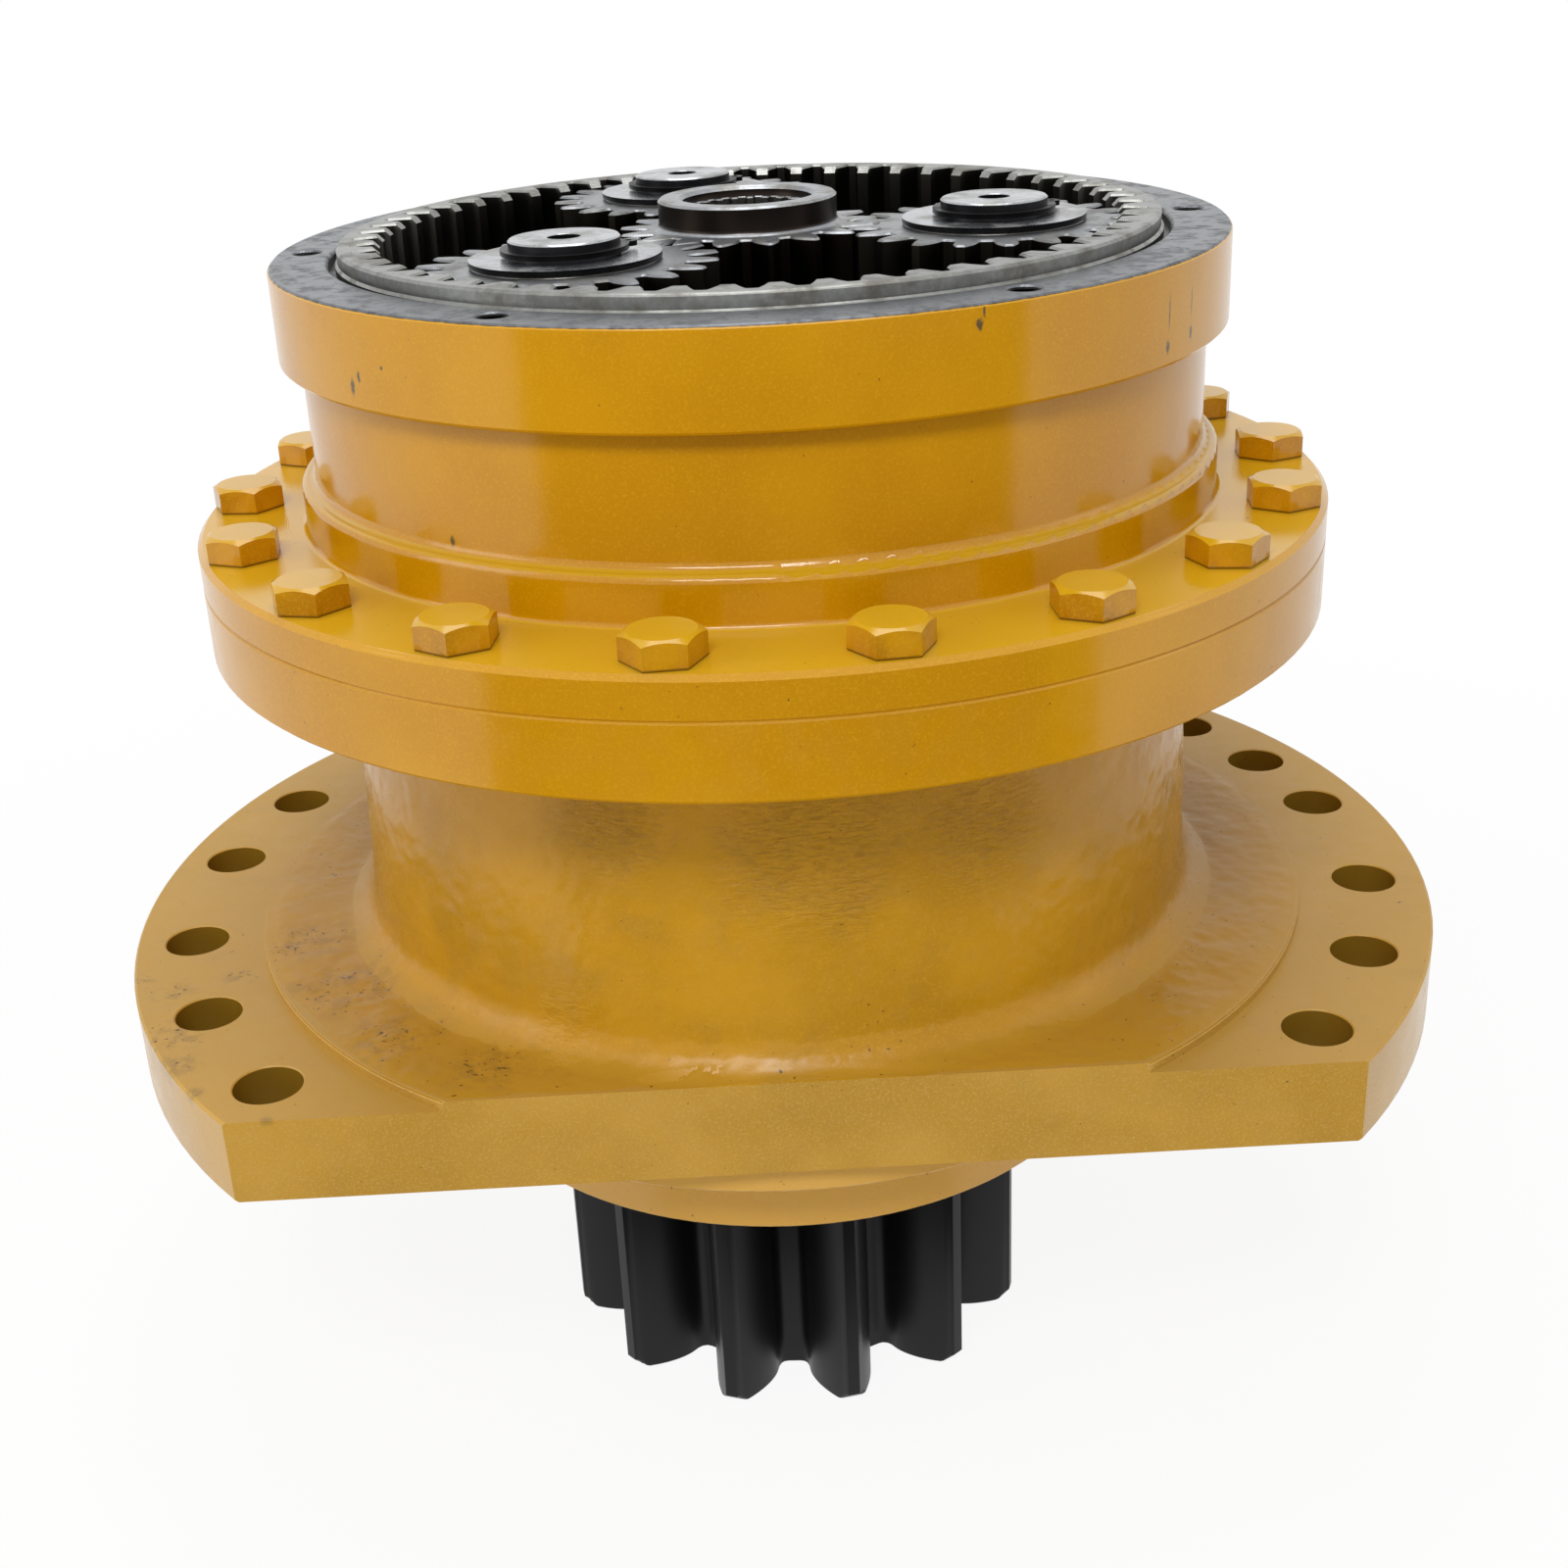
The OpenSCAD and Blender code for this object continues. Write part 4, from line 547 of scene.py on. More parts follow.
def caseMaterial(spec):
    material, tree, shader, place = startMaterial("enamelled_case_with_bare_motor_face")
    paintShade = paintColor(tree, place, {**paint, "marks": spec["marks"], "lines": spec["lines"]})
    faceColor, faceRough, faceNormal = steelParts(tree, place, {**steel, **spec["face"]})
    part = splitXyz(tree, place)
    height, away = part[2], awayFromAxis(tree, part)
    torn = times(tree, noiseAt(tree, place, spec["tornSize"], 4), spec["tornHeight"])
    bareTop = ramp(tree, calc(tree, "ADD", height, torn), spec["bareFrom"], spec["bareFull"])
    wider = times(tree, spec["bandRim"] - spec["paintRim"],
                  calc(tree, "GREATER_THAN", height, spec["bandFrom"]))
    reach = calc(tree, "ADD", spec["paintRim"], wider)
    bare = calc(tree, "MAXIMUM", bareTop, calc(tree, "LESS_THAN", away, reach))
    lit = times(tree, calc(tree, "GREATER_THAN", height, spec["bareFrom"]),
                calc(tree, "GREATER_THAN", away, spec["litBeyond"]))
    # bare metal below the face or within litBeyond gets the dark colour inside: painted shade in the holes,
    # the bore and the gap by the ring gear
    color = blendColor(tree, bare, paintShade, blendColor(tree, lit, spec["inside"], faceColor))
    rough = addNode(tree, "ShaderNodeMix", {"Factor": bare, "A": paint["rough"], "B": faceRough})
    peel = noiseAt(tree, place, paint["peel"], 2)
    feed(tree, shader, {"Base Color": color, "Metallic": bare, "Roughness": rough.outputs[0],
                        "Normal": bumpFrom(tree, peel, paint["peelHeight"], before=faceNormal)})
    return material


def dress(material, *names):
    # gives CAD nodes their material
    for name in names:
        mesh = cadNodes[name].data
        mesh.materials.clear()
        mesh.materials.append(material)


# Planet stages: radius of the circle of pins, and angle of the first pin in degrees
firstStage = {"radius": 95 * mm, "angle": 105.7}
secondStage = {"radius": 97.5 * mm, "angle": 60}


def stageSpots(stage):
    # letter and centre of a stage's three planets
    angles = [math.radians(stage["angle"] + 120 * k) for k in range(3)]
    return [("abc"[k], (stage["radius"] * math.cos(a), stage["radius"] * math.sin(a)))
            for k, a in enumerate(angles)]


# Worn paint on the rough casting: folds in its skin with painted shade in their hollows, dirt on the left of
# the pad, and paler paint below the foot as painted light bounced up from the floor
castPaint = {
    "color": "#c58f10",
    "deep": "#b6830a",
    "pale": "#cc9b26",
    "dustAndTopLightColor": "#b4892a",
    "markColor": "#7c5c22",
    # paler paint below the foot: painted bounce light
    "pilot": "#d8a850",
    "specks": 0.74,
    "cluster": 0.06,
    "soil": 0.12,
    "lump": 3 * mm,
    "lumpHeight": 0.04 * mm,
    "gritHeight": 0.03 * mm,
    "wrinkle": 5 * mm,
    "wrinkleHeight": 1.2 * mm,
    "rough": 0.32,
    "sideRough": 0.24,
    "gloss": 0.36,
    "folds": [((10, -171, 128), 55), ((70, -155, 125), 40), ((-60, -160, 135), 35), ((20, -171, 106), 25),
              ((-90, -165, 55), 25)],
    "spots": [((-176, -96, 38.5), 34), ((-196, -55, 38.5), 26), ((-150, -135, 38.5), 30),
              ((-110, -160, 38.5), 22), ((-180, -60, 60), 20)],
}

# Dusty, duller paint on the foot, dirty on its left, its tops darker with painted shade as well as dust, and
# brown painted shade on the walls of its holes
footPaint = {
    "color": "#c4963b",
    "deep": "#b88b31",
    "pale": "#cba657",
    "dustAndTopLightColor": "#b48d3b",
    "markColor": "#54462e",
    # painted shade on the hole walls
    "bores": "#7c5c14",
    "cluster": 0.03,
    "soil": 0.08,
    "lump": 7 * mm,
    "lumpHeight": 0.1 * mm,
    "gritHeight": 0.03 * mm,
    "rough": 0.4,
    "sideRough": 0.2,
    "gloss": 0.45,
    "spots": [((-264, -72, 34), 12), ((-246, -84, 34), 12), ((-238, -118, 34), 18), ((-232, -140, 34), 14),
              ((-221, -161, 34), 6), ((-190, -181, 34), 4), ((-222, -72, 34), 10)],
}
castEnamel = enamel("enamel_on_rough_casting", **castPaint)
footEnamel = enamel("dusty_enamel_on_foot_with_painted_shade", **footPaint)
flangeEnamel = enamel("enamel_on_machined_flange")
# the bolts' line at their seat is painted shade where each head meets the flange
boltEnamel = enamel("enamel_on_bolts", blotch=20 * mm, deep="#b07803", lines=[(210.1, 1.1)])

# Spring steel of clips, ground and hardened steel of bearings and washers, oiled iron, bronze, rubber
darkSteel = bareMetal("blackened_spring_steel", color="#3a3b3d", tint="#2b2a29", oily="#161616", rough=0.4)
groundSteel = bareMetal("ground_bearing_steel", color="#b9bbbe", tint="#8f8f8d", oily="#8a8b8d", rough=0.2,
                        oilyRough=0.18)
washerSteel = bareMetal("hardened_washer_steel", color="#b2b4b9", tint="#93938f", oily="#1f1f20", rough=0.24)
ironOily = bareMetal("machined_iron_with_oil", color="#4a4a4b", tint="#2c2b29", oily="#1d1c1b", rough=0.38)
bronze = bareMetal("plain_bronze", color="#b08a4a", tint="#8a6630", oily="#7c5a2a", rough=0.35)
rubber = rubberMaterial(rubberFinish)
dress(castEnamel, "lower_housing")
dress(flangeEnamel, "housing_bolt_flange")
dress(footEnamel, "housing_foot")
dress(caseMaterial(caseFinish), "ring_gear_case")
dress(bareMetal("inner_sun_steel"), "sun_gear_2")
for letter, centre in stageSpots(secondStage):
    dress(bareMetal("inner_planet_steel_" + letter, centre=centre), "planet_gear_2" + letter,
          "planet_pin_2" + letter)
dress(washerSteel, "thrust_washers_1_upper", "thrust_washers_1_lower", "thrust_washers_2_upper",
      "thrust_washers_2_lower")
dress(groundSteel, "ring_gear_dowels", "upper_bearing_inner_ring", "upper_bearing_rollers",
      "upper_bearing_outer_ring", "lower_bearing_inner_ring", "lower_bearing_rollers",
      "lower_bearing_outer_ring", "wear_sleeve", "lock_washer", "drain_plug",
      *["needle_bearing_%d%s" % (s, k) for s in (1, 2) for k in "abc"])
dress(darkSteel, "circlips_1", "circlips_2", "roll_pins_1", "roll_pins_2", "snap_ring", "retaining_bolts")
dress(ironOily, "carrier_1", "carrier_2", "retaining_plate", "bearing_locknut", "seal_carrier")
dress(bronze, "thrust_pad", "sun_1_thrust_washer", "drain_plug_washer")
dress(rubber, "oil_seal", "case_o_ring")
print("materials on", len(cadNodes), "nodes")


def centreOf(node):
    low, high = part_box(node)
    return (low.x + high.x) / 2, (low.y + high.y) / 2


def joinAt(points, centre):
    # points carried from the piece's own axis to its place
    return points + np.array([centre[0], centre[1], 0.0])


# First stage planets: 20 teeth of module 5, thin chamfer along every tooth edge, a low hub each side
planet = {
    "teeth": 20, "module": 5 * mm, "shift": 0.0, "thin": 0.3 * mm, "fillet": 0.25, "steps": 12,
    "root": 43.75 * mm, "tip": 55 * mm, "edge": 0.7 * mm, "hub": 33.5 * mm, "hubHeight": 0.6 * mm,
    "bore": 25.6 * mm, "ringTeeth": 58, "ringTurn": 2.4,
}


def planetTurn(spec, angle):
    # turn that meets the ring gear's gaps: nearest gap's offset carried over by the tooth ratio
    offset = math.fmod(spec["ringTurn"] - angle, 360 / spec["ringTeeth"])
    return math.radians(angle + offset * spec["ringTeeth"] / spec["teeth"])


def gearRows(spec, low, high):
    # loops of a gear: chamfered outline up, over the top to the hub and bore, down and back below
    radius, angle = toothLoop(spec)
    edge = spec["edge"]
    inR, inA = movedLoop(radius, angle, -edge)
    rows = [flatLoop(inR, inA, low), flatLoop(radius, angle, low + edge),
            flatLoop(radius, angle, high - edge), flatLoop(inR, inA, high)]
    disc, hub, bore, rise = spec["root"] - 4 * edge, spec["hub"], spec["bore"], spec["hubHeight"]
    bevel = edge * 1.2
    rows += turnedRows([(disc, high), (hub + rise / 2, high), (hub, high + rise), (bore + bevel, high + rise),
                        (bore, high + rise - bevel), (bore, low - rise + bevel), (bore + bevel, low - rise),
                        (hub, low - rise), (hub + rise / 2, low), (disc, low)], angle)
    return rows


def makePlanet(letter, first, material):
    node = "planet_gear_1" + letter
    low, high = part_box(node)
    centre = centreOf(node)
    angle = first + 120 * "abc".index(letter)
    spec = {**planet, "turn": planetTurn(planet, angle)}
    rows = gearRows(spec, low.z + spec["hubHeight"], high.z - spec["hubHeight"])
    points, quads = loopStack(rows)
    thing = buildMesh("planet_" + letter, joinAt(points, centre), quads, material)
    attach(thing, "planet_1" + letter)
    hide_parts(node)


# Ring gear: 58 inward teeth of module 5. The outline is that of its tooth gaps.
ringGear = {
    "teeth": planet["ringTeeth"], "module": 5 * mm, "shift": 0.0, "thin": -0.3 * mm, "fillet": 0.0,
    "steps": 8, "root": 141.0 * mm, "tip": 151.25 * mm, "turn": math.radians(planet["ringTurn"]),
    "edge": 0.8 * mm, "outer": 157.95 * mm, "band": 156.95 * mm, "bandFoot": 308.0 * mm, "bevel": 1.0 * mm,
    "tipBevel": 2.5 * mm,
}


def makeRingGear(spec, material):
    low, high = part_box("ring_gear")
    radius, angle = toothLoop(spec)
    edge, bevel = spec["edge"], spec["bevel"]
    outR, outA = movedLoop(radius, angle, edge)
    outer = [(spec["outer"] - bevel, low.z), (spec["outer"], low.z + bevel),
             (spec["outer"], spec["bandFoot"]), (spec["band"], spec["bandFoot"] + bevel),
             (spec["band"], high.z - bevel), (spec["band"] - bevel, high.z)]
    rows = turnedRows(outer, angle)
    lean, tip = spec["tipBevel"], spec["root"]
    rows += [flatLoop(np.maximum(outR, tip + lean), outA, high.z),
             flatLoop(np.maximum(radius, tip + lean - edge), angle, high.z - edge),
             flatLoop(radius, angle, high.z - lean),
             flatLoop(radius, angle, low.z + edge), flatLoop(outR, outA, low.z)]
    thing = buildMesh("ring_gear_cut", *loopStack(rows), material)
    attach(thing, "housing")
    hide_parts("ring_gear")


# First sun: 17 teeth, collar with a chamfered rim, splined bore in its own sleeve surface
sun = {
    "teeth": 17, "module": 5 * mm, "shift": 0.5, "thin": 0.3 * mm, "fillet": 0.25, "steps": 12,
    "root": 38.75 * mm, "tip": 50 * mm, "edge": 0.7 * mm, "height": 42 * mm, "collar": 34.4 * mm,
    "rim": 0.9 * mm, "footRound": 2.5 * mm, "recess": 25 * mm, "recessDepth": 4 * mm, "mouth": 1.4 * mm,
    "bore": 24.6 * mm, "splineTeeth": 23, "splineRoot": 24.2 * mm, "splineTip": 22 * mm,
    "splineLength": 36 * mm, "splineEdge": 0.4 * mm, "sleeve": 25 * mm,
}


def sunTurn(spec, angle):
    # turn that meets a planet at this angle
    turn = math.degrees(planetTurn(planet, angle)) - angle - 180
    return math.radians(angle - math.fmod(turn, 360 / planet["teeth"]) * planet["teeth"] / spec["teeth"]
                        + 180 / spec["teeth"])


def splineRows(spec, top):
    # sleeve with straight-sided splines inside, chamfered at both ends
    radius, angle = splineLoop(spec["splineTeeth"], spec["splineTip"], spec["splineRoot"])
    edge = spec["splineEdge"]
    outR, outA = movedLoop(radius, angle, edge)
    low = top - spec["splineLength"]
    return [flatLoop(spec["sleeve"], angle, low), flatLoop(spec["sleeve"], angle, top),
            flatLoop(outR, outA, top), flatLoop(radius, angle, top - edge),
            flatLoop(radius, angle, low + edge), flatLoop(outR, outA, low)]


def makeSun(spec, material, splineMaterial, first):
    low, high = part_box("sun_gear_1")
    spec = {**spec, "turn": sunTurn(spec, first)}
    radius, angle = toothLoop(spec)
    edge, top = spec["edge"], low.z + spec["height"]
    inR, inA = movedLoop(radius, angle, -edge)
    rows = [flatLoop(inR, inA, low.z), flatLoop(radius, angle, low.z + edge),
            flatLoop(radius, angle, top - edge), flatLoop(inR, inA, top)]
    collar, foot, rim, mouth = spec["collar"], spec["footRound"], spec["rim"], spec["mouth"]
    profile = list(arcPoints(collar + foot, top + foot, foot, 270, 180, 6))
    profile += [(collar, high.z - rim), (collar - rim, high.z), (spec["recess"] + mouth, high.z),
                (spec["recess"], high.z - mouth), (spec["recess"], high.z - spec["recessDepth"]),
                (spec["bore"], high.z - spec["recessDepth"] - edge), (spec["bore"], low.z + edge),
                (spec["bore"] + edge, low.z), (spec["root"] - 3 * edge, low.z)]
    rows += turnedRows(profile, angle)
    thing = buildMesh("sun_gear", *loopStack(rows), material)
    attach(thing, "first_sun")
    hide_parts("sun_gear_1")
    inner = buildMesh("sun_splines", *loopStack(splineRows(spec, high.z - spec["recessDepth"])),
                      splineMaterial)
    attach(inner, "first_sun")


# Planet pins: ground ends with a chamfer and a drilled centre, whose cone ends at the hair-thin core
pin = {"radius": 20 * mm, "rim": 0.6 * mm, "hole": 6 * mm, "holeDepth": 30 * mm, "holeRim": 0.25 * mm,
       "core": 0.015 * mm, "groove": 1.05 * mm, "grooveFrom": 5.05 * mm, "grooveTo": 3.15 * mm, "sides": 128}


def makePin(letter, spec, material):
    node = "planet_pin_1" + letter
    low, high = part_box(node)
    angle = np.linspace(0, 2 * math.pi, spec["sides"], endpoint=False)
    r, rim, hole = spec["radius"], spec["rim"], spec["hole"]
    a, b = high.z - spec["grooveFrom"], high.z - spec["grooveTo"]
    profile = [(r - rim, low.z), (r, low.z + rim), (r, a), (r - spec["groove"], a), (r - spec["groove"], b),
               (r, b), (r, high.z - rim), (r - rim, high.z), (hole + spec["holeRim"], high.z),
               (hole, high.z - spec["holeRim"]), (hole, high.z - spec["holeDepth"]),
               (spec["core"], high.z - spec["holeDepth"] - hole / 2), (spec["core"], low.z)]
    points, quads = loopStack(turnedRows(profile, angle))
    thing = buildMesh("pin_" + letter, joinAt(points, centreOf(node)), quads, material)
    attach(thing, "first_carrier")
    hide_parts(node)


# Case bolts: M16 hexagon heads with a 30 degree chamfer, each left at the turn it was tightened to
bolts = {
    "count": 18, "circle": 207 * mm, "seat": 210.0 * mm, "flats": 25 * mm, "head": 10 * mm,
    "flatShare": 0.915, "lean": 30, "shank": 8 * mm, "length": 40 * mm, "end": 1.5 * mm, "sides": 72,
    "foot": 0.5 * mm, "smoothAngle": 25,
    "turns": [22.5, 12, 41, 18, 55, 29, 8, 46, 33, 52, 37, 47, 24, 4, 5.5, 34, 51, 24.5],
}


def boltRows(spec, turnDeg):
    # hexagon radius a / cos(angle within its sixth); the chamfer drops from the flat top's rim
    # by the extra radius times tan of the lean
    angle = np.linspace(0, 2 * math.pi, spec["sides"], endpoint=False)
    sixth = math.pi / 3
    inner = spec["flats"] / 2
    hexagon = inner / np.cos(np.mod(angle, sixth) - sixth / 2)
    rim = inner * spec["flatShare"]
    dropped = spec["head"] - (hexagon - rim) * math.tan(math.radians(spec["lean"]))
    shank, end = spec["shank"], spec["end"]
    loops = [(hexagon - spec["foot"] / 2, 0), (hexagon, spec["foot"]), (hexagon, dropped),
             (rim, spec["head"]), (rim * 0.55, spec["head"]), (rim * 0.01, spec["head"]),
             (rim * 0.01, -spec["length"]), (shank - end, -spec["length"]), (shank, end - spec["length"]),
             (shank, 0)]
    spin = math.radians(turnDeg)
    return [flatLoop(r, angle + spin, z) for r, z in loops]


def makeBolts(spec, material):
    allPoints, allQuads, start = [], [], 0
    for k, turnDeg in enumerate(spec["turns"]):
        points, quads = loopStack(boltRows(spec, turnDeg))
        where = 2 * math.pi * k / spec["count"]
        points = points + np.array([spec["circle"] * math.cos(where), spec["circle"] * math.sin(where),
                                    spec["seat"]])
        allPoints.append(points)
        allQuads.append(quads + start)
        start += len(points)
    thing = buildMesh("case_bolt_set", np.concatenate(allPoints), np.concatenate(allQuads), material,
                      spec["smoothAngle"])
    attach(thing, "housing")
    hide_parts("case_bolts")


# Rough casting on the lower housing: neck, its two fillets and the pad on the foot.
# A skin that lies a few tenths over the plain solid and dips into it at its edges. rough, lump and swell
# are the heights of its three sizes of bumps. dents: angle in degrees, way down the profile in mm,
# radius in mm, and depth as a share of dentDepth.
casting = {
    "bands": 720, "rows": 110, "neckTop": 170 * mm, "neckFoot": 173 * mm, "underFlange": 166.5 * mm,
    "topRound": 16 * mm, "footRound": 15 * mm, "padTop": 38 * mm, "padRim": 222 * mm, "flats": 182 * mm,
    "pastRim": 5 * mm, "tableRows": 900, "rimInset": 0.4 * mm, "pastNeck": 60 * mm,
    "proud": 0.45 * mm, "least": 0.12 * mm, "dip": 0.2 * mm, "edgeRows": 4,
    "depth": 1.2 * mm, "underRows": 12, "smoothAngle": 60,
    "rough": 0.08 * mm, "roughSize": 1.6 * mm, "lump": 0.088 * mm, "lumpSize": 6 * mm,
    "swell": 0.1575 * mm, "swellSize": 22 * mm, "seed": 11, "dentDepth": 0.5 * mm,
    "dents": [(-97, 55, 5, 0.9), (-88, 62, 7, 0.8), (-84, 58, 4, 0.9), (-76, 74, 9, 0.7), (-62, 88, 6, 0.8),
              (-108, 78, 8, 0.6), (-58, 66, 5, 0.6), (-40, 60, 7, 0.6), (40, 70, 8, 0.7), (75, 90, 6, 0.7),
              (130, 66, 8, 0.7), (-150, 80, 7, 0.7), (170, 60, 6, 0.7), (-132, 92, 10, 0.6)],
}


def smoothField(rng, shape, spacing, size):
    # random field on a grid, periodic round the axis, kept to lumps of about size:
    # white noise whose waves are damped by exp(-(wave number * 1.6 * size)^2)
    field = rng.standard_normal(shape)
    waveA = np.fft.fftfreq(shape[0], spacing[0])[:, None]
    waveB = np.fft.fftfreq(shape[1], spacing[1])[None, :]
    kept = np.fft.fft2(field) * np.exp(-((waveA ** 2 + waveB ** 2) * (size * 1.6) ** 2))
    field = np.real(np.fft.ifft2(kept))
    return field / field.std()


def castProfile(spec):
    # table of length, radius, height and outward normal from under the bolt flange to the pad's rim
    topR, topZ = spec["neckTop"] + spec["topRound"], spec["underFlange"] - spec["topRound"]
    footR, footZ = spec["neckFoot"] + spec["footRound"], spec["padTop"] + spec["footRound"]
    line = np.concatenate([arcPoints(topR, topZ, spec["topRound"], 90, 180, 40),
                           arcPoints(footR, footZ, spec["footRound"], 180, 270, 40),
                           [(spec["padRim"] + spec["pastRim"], spec["padTop"])]])
    length = np.concatenate([[0], np.cumsum(np.hypot(*np.diff(line, axis=0).T))])
    fine = np.linspace(0, length[-1], spec["tableRows"])
    r, z = np.interp(fine, length, line[:, 0]), np.interp(fine, length, line[:, 1])
    tr, tz = np.gradient(r), np.gradient(z)
    size = np.hypot(tr, tz)
    return fine, r, z, -tz / size, tr / size


def castField(spec, length, angle, along, radius):
    # height of the rough skin over its mean, with lower places where the mould was damaged
    rng = np.random.default_rng(spec["seed"])
    spacing = (length / spec["rows"], 2 * math.pi * spec["neckTop"] / spec["bands"])
    shape = (spec["rows"] * 2, spec["bands"])
    field = 0.0
    for kind in ("rough", "lump", "swell"):
        field = field + spec[kind] * smoothField(rng, shape, spacing, spec[kind + "Size"])
    field = field[:spec["rows"]]
    angleDeg = np.degrees(angle)[None, :]
    for where, down, size, deep in spec["dents"]:
        aside = (np.mod(angleDeg - where + 180, 360) - 180) * math.radians(1) * radius
        away = np.hypot(aside, along - down * mm)
        field -= deep * spec["dentDepth"] * np.exp(-(away / (size * mm)) ** 2)
    return field


def makeCasting(spec, material):
    fine, r, z, nr, nz = castProfile(spec)
    angle = np.linspace(0, 2 * math.pi, spec["bands"], endpoint=False)
    reach = np.minimum(spec["padRim"], spec["flats"] / np.maximum(np.abs(np.sin(angle)), 1e-6))
    afterNeck = fine > spec["pastNeck"]
    last = np.interp(reach - spec["rimInset"], r[afterNeck], fine[afterNeck])
    share = np.linspace(0, 1, spec["rows"])
    along = share[:, None] * last[None, :]
    table = [np.interp(along, fine, column) for column in (r, z, nr, nz)]
    field = castField(spec, fine[-1], angle, along, table[0])
    edge = np.minimum(1, np.minimum(share, 1 - share) * spec["rows"] / spec["edgeRows"])[:, None]
    lift = np.maximum(spec["proud"] + field, spec["least"]) * edge - (1 - edge) * spec["dip"]
    outer = flatLoop(table[0] + table[2] * lift, angle[None, :], table[1] + table[3] * lift)
    under = np.linspace(1, 0, spec["underRows"])[:, None] * last[None, :]
    inside = [np.interp(under, fine, column) for column in (r, z, nr, nz)]
    inner = flatLoop(inside[0] - inside[2] * spec["depth"], angle[None, :],
                     inside[1] - inside[3] * spec["depth"])
    rows = np.concatenate([outer, inner])[::-1]
    thing = buildMesh("housing_casting", *loopStack(rows), material, spec["smoothAngle"])
    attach(thing, "housing")


# Output pinion and its shaft: 12 teeth of module 14, ends of the teeth cut by a cone. shaft lists radius
# and height of each step, with None for the top of the teeth; core stands for the axis.
pinion = {
    "teeth": 12, "module": 14 * mm, "shift": 0.4, "thin": 0.0, "fillet": 0.3, "steps": 16,
    "root": 72.1 * mm, "tip": 103.6 * mm, "turn": math.radians(11.5), "edge": 0.9 * mm,
    "cone": 5 * mm, "top": -58 * mm, "topCone": 1.2 * mm, "core": 0.01 * mm,
    "shaft": [(72 * mm, None), (72 * mm, -32 * mm), (64.95 * mm, -32 * mm), (64.95 * mm, 35 * mm),
              (60 * mm, 35 * mm), (60 * mm, 87.5 * mm), (49.95 * mm, 87.5 * mm), (49.95 * mm, 136.5 * mm),
              (49 * mm, 136.5 * mm), (49 * mm, 150.6 * mm), (42 * mm, 150.6 * mm), (42 * mm, 169.5 * mm)],
    "splineTeeth": 28, "splineFoot": 42 * mm, "splineTip": 45 * mm, "splineCore": 41 * mm,
    "splineFrom": 150.6 * mm,
}


def shaftSplineRows(spec, low, high):
    # straight-sided splines outside a thin sleeve
    radius, angle = splineLoop(spec["splineTeeth"], spec["splineFoot"], spec["splineTip"])
    return [flatLoop(radius, angle, low), flatLoop(radius, angle, high),
            flatLoop(spec["splineCore"], angle, high), flatLoop(spec["splineCore"], angle, low)]


def makePinion(spec, material):
    low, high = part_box("pinion_shaft")
    radius, angle = toothLoop(spec)
    edge, cone, top, tip = spec["edge"], spec["cone"], spec["top"], spec["tip"]
    inR, inA = movedLoop(radius, angle, -edge)
    rows = [flatLoop(np.minimum(inR, tip - cone), inA, low.z),
            flatLoop(np.minimum(radius, tip - cone + edge), angle, low.z + edge),
            flatLoop(np.minimum(radius, tip - cone / 2), angle, low.z + cone / 2),
            flatLoop(radius, angle, low.z + cone), flatLoop(radius, angle, top - spec["topCone"]),
            flatLoop(np.minimum(radius, tip - spec["topCone"]), angle, top)]
    rows += turnedRows([(r, top if z is None else z) for r, z in spec["shaft"]], angle)
    rows += turnedRows([(spec["core"], high.z), (spec["core"], low.z)], angle)
    thing = buildMesh("pinion_and_shaft", *loopStack(rows), material)
    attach(thing, "output")
    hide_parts("pinion_shaft")
    splines = loopStack(shaftSplineRows(spec, spec["splineFrom"], high.z))
    spline = buildMesh("shaft_spline", *splines, material)
    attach(spline, "output")


# Gear steels: worn ring and splines, oily sun and planets, ground pins, pinion black with old oil
ringSteel = bareMetal("ring_gear_steel", color="#92938f", tint="#72706a", oilyWithin=153 * mm, flankAt=0.35)
sunSteel = bareMetal("sun_gear_steel", oily="#29231f")
splineSteel = bareMetal("worn_spline_steel", color="#a3a5a8", oily="#8f8d86", oilyRough=0.25)
pinionSteel = bareMetal("pinion_steel_oiled_black", color="#2f3033", tint="#262524", oily="#1d1d1f",
                        rough=0.4, oilyRough=0.4, metallic=0.6)
makeRingGear(ringGear, ringSteel)
makeSun(sun, sunSteel, splineSteel, firstStage["angle"])
makeBolts(bolts, boltEnamel)
makeCasting(casting, castEnamel)
makePinion(pinion, pinionSteel)
for letter, centre in stageSpots(firstStage):
    makePlanet(letter, firstStage["angle"], bareMetal("planet_steel_" + letter, centre=centre,
                                                      color="#888a8d", tint="#6d6c69", oily="#3b372f"))
    makePin(letter, pin, bareMetal("pin_steel_" + letter, centre=centre, color="#b4b6ba", tint="#8b8b88",
                                   oily="#2b2b2d", rough=0.2))
print("gears, bolts, casting and pinion built")

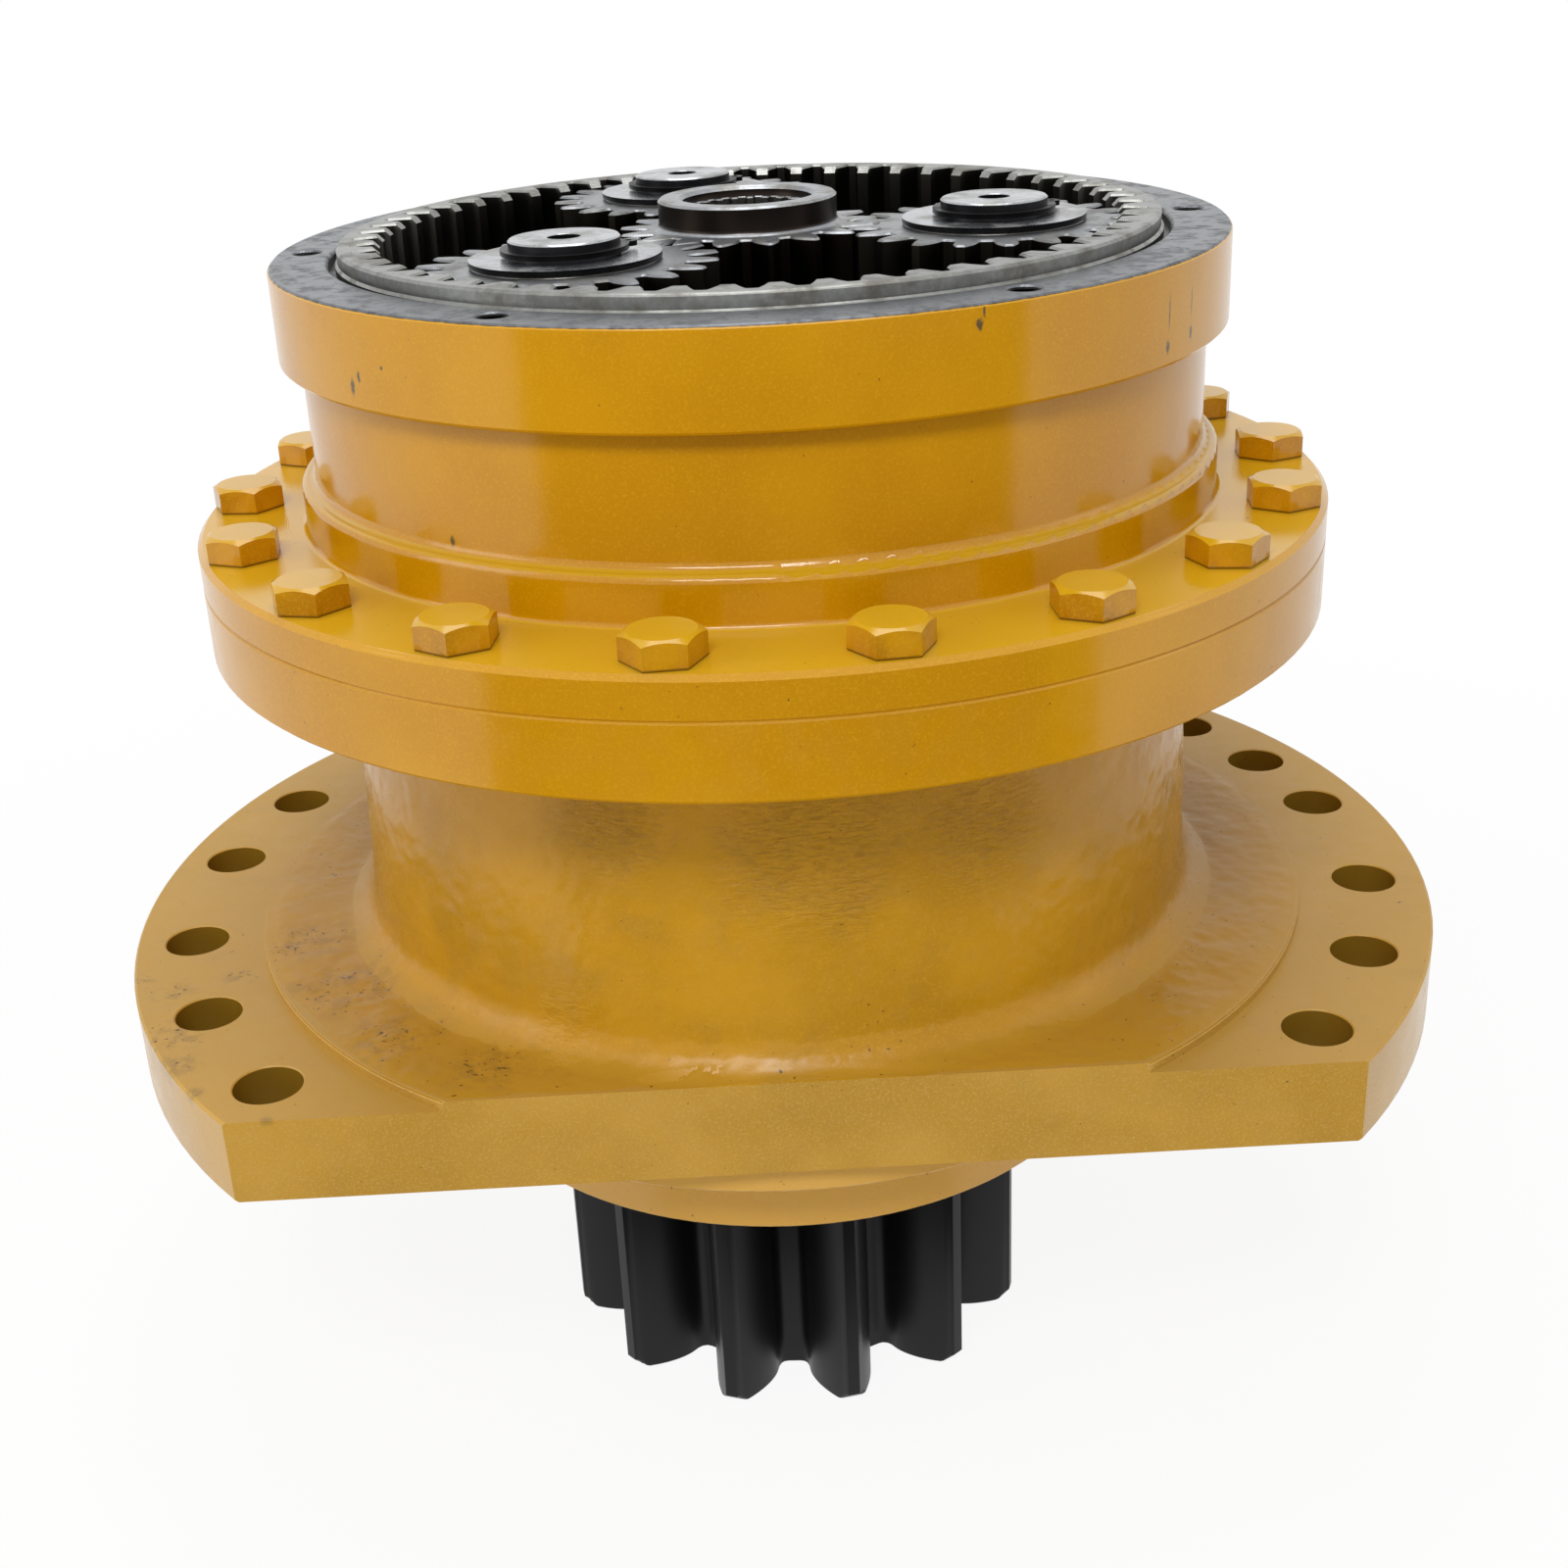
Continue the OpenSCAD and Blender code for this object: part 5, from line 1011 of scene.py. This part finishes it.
# Studio: white floor and surroundings, broad lamps left, right, above and in front, and a dark card that
# is seen only in reflections and gives the case its dark zones. nearGlow is the floor's glow by the part,
# up to floorNear from its middle, full from floorFar on; lightTable is the light it gives the part from
# below. Each lamp: name, place, what it faces, width and height, watts.
studio = {
    "floorZ": cadBox[0][2] - 0.2 * mm,
    "floorSize": 12.0,
    "floorShade": 0.88,
    "worldDiffuse": 0.5,
    "floorNear": 0.4,
    "floorFar": 1.1,
    "nearGlow": 0.9,
    "lightTable": 0.28,
    "cardShade": 0.01,
    "cardCorners": [(-0.07, -0.16, -0.177), (-2.89, -2.06, -0.177), (0, -4, -0.177), (3.12, -1.67, -0.177),
                    (0.08, -0.155, -0.177)],
    "lamps": [
        ("lampLeft", (-1.7, -0.5, 0.9), (0, 0, 0.1), (0.9, 1.2), 7),
        ("lampRight", (1.7, -0.3, 0.9), (0, 0, 0.1), (0.9, 1.2), 2.5),
        ("lampAbove", (0.0, 0.2, 2.0), (0, 0, 0.2), (1.2, 1.2), 14.5),
        ("lampFront", (-0.3, -1.7, 1.75), (0, 0, 0.1), (1.0, 0.5), 25),
    ],
}
white = (1, 1, 1, 1)


def whiteForCamera(tree, plain, bright):
    # plain shader for light, bright for camera, glossy and transmission rays
    path = addNode(tree, "ShaderNodeLightPath").outputs
    seen = calc(tree, "MAXIMUM", path["Is Camera Ray"],
                calc(tree, "MAXIMUM", path["Is Glossy Ray"], path["Is Transmission Ray"]))
    return addNode(tree, "ShaderNodeMixShader", {0: seen, 1: plain, 2: bright}).outputs[0]


def makeSheet(name, corners, material):
    # flat sheet of the studio
    mesh = bpy.data.meshes.new(name)
    mesh.from_pydata(corners, [], [tuple(range(len(corners)))])
    mesh.materials.append(material)
    sheet = bpy.data.objects.new(name, mesh)
    scene.collection.objects.link(sheet)
    return sheet


def mattShader(tree, shade):
    return addNode(tree, "ShaderNodeBsdfDiffuse", {"Color": (shade, shade, shade, 1)}).outputs[0]


def floorMaterial(spec):
    # matt floor that glows white in the picture, all the more the farther it is from the part
    material, tree = emptyMaterial("white_floor")
    place = addNode(tree, "ShaderNodeTexCoord").outputs["Object"]
    away = addNode(tree, "ShaderNodeVectorMath", {0: place}, operation="LENGTH").outputs["Value"]
    share = ramp(tree, away, spec["floorNear"], spec["floorFar"], spec["nearGlow"], 1.0)
    matt = mattShader(tree, spec["floorShade"])
    glow = addNode(tree, "ShaderNodeEmission", {"Color": white, "Strength": 1.0}).outputs[0]
    dimmer = addNode(tree, "ShaderNodeMixShader", {0: spec["lightTable"], 1: matt, 2: glow}).outputs[0]
    lifted = addNode(tree, "ShaderNodeMixShader", {0: share, 1: matt, 2: glow}).outputs[0]
    addNode(tree, "ShaderNodeOutputMaterial", {"Surface": whiteForCamera(tree, dimmer, lifted)})
    return material


def cardMaterial(spec):
    material, tree = emptyMaterial("black_card")
    addNode(tree, "ShaderNodeOutputMaterial", {"Surface": mattShader(tree, spec["cardShade"])})
    return material


def makeStudio(spec):
    world = bpy.data.worlds.new("studio")
    scene.world = world
    world.use_nodes = True
    tree = world.node_tree
    tree.nodes.clear()
    plain = addNode(tree, "ShaderNodeBackground", {"Strength": spec["worldDiffuse"]}).outputs[0]
    bright = addNode(tree, "ShaderNodeBackground", {"Color": white, "Strength": 1.0}).outputs[0]
    addNode(tree, "ShaderNodeOutputWorld", {"Surface": whiteForCamera(tree, plain, bright)})
    half, low = spec["floorSize"] / 2, spec["floorZ"]
    makeSheet("floor", [(-half, -half, low), (half, -half, low), (half, half, low), (-half, half, low)],
              floorMaterial(spec))
    card = makeSheet("dark_card_behind_camera", spec["cardCorners"], cardMaterial(spec))
    for ray in ("camera", "diffuse", "transmission", "volume_scatter", "shadow"):
        setattr(card, "visible_" + ray, False)
    for name, place, aim, size, power in spec["lamps"]:
        data = bpy.data.lights.new(name, "AREA")
        data.shape = "RECTANGLE"
        data.size, data.size_y = size
        data.energy = power
        lamp = bpy.data.objects.new(name, data)
        lamp.location = place
        lamp.rotation_euler = (Vector(aim) - Vector(place)).to_track_quat("-Z", "Y").to_euler()
        scene.collection.objects.link(lamp)


makeStudio(studio)
scene.view_settings.view_transform = "Standard"
print("studio lit")
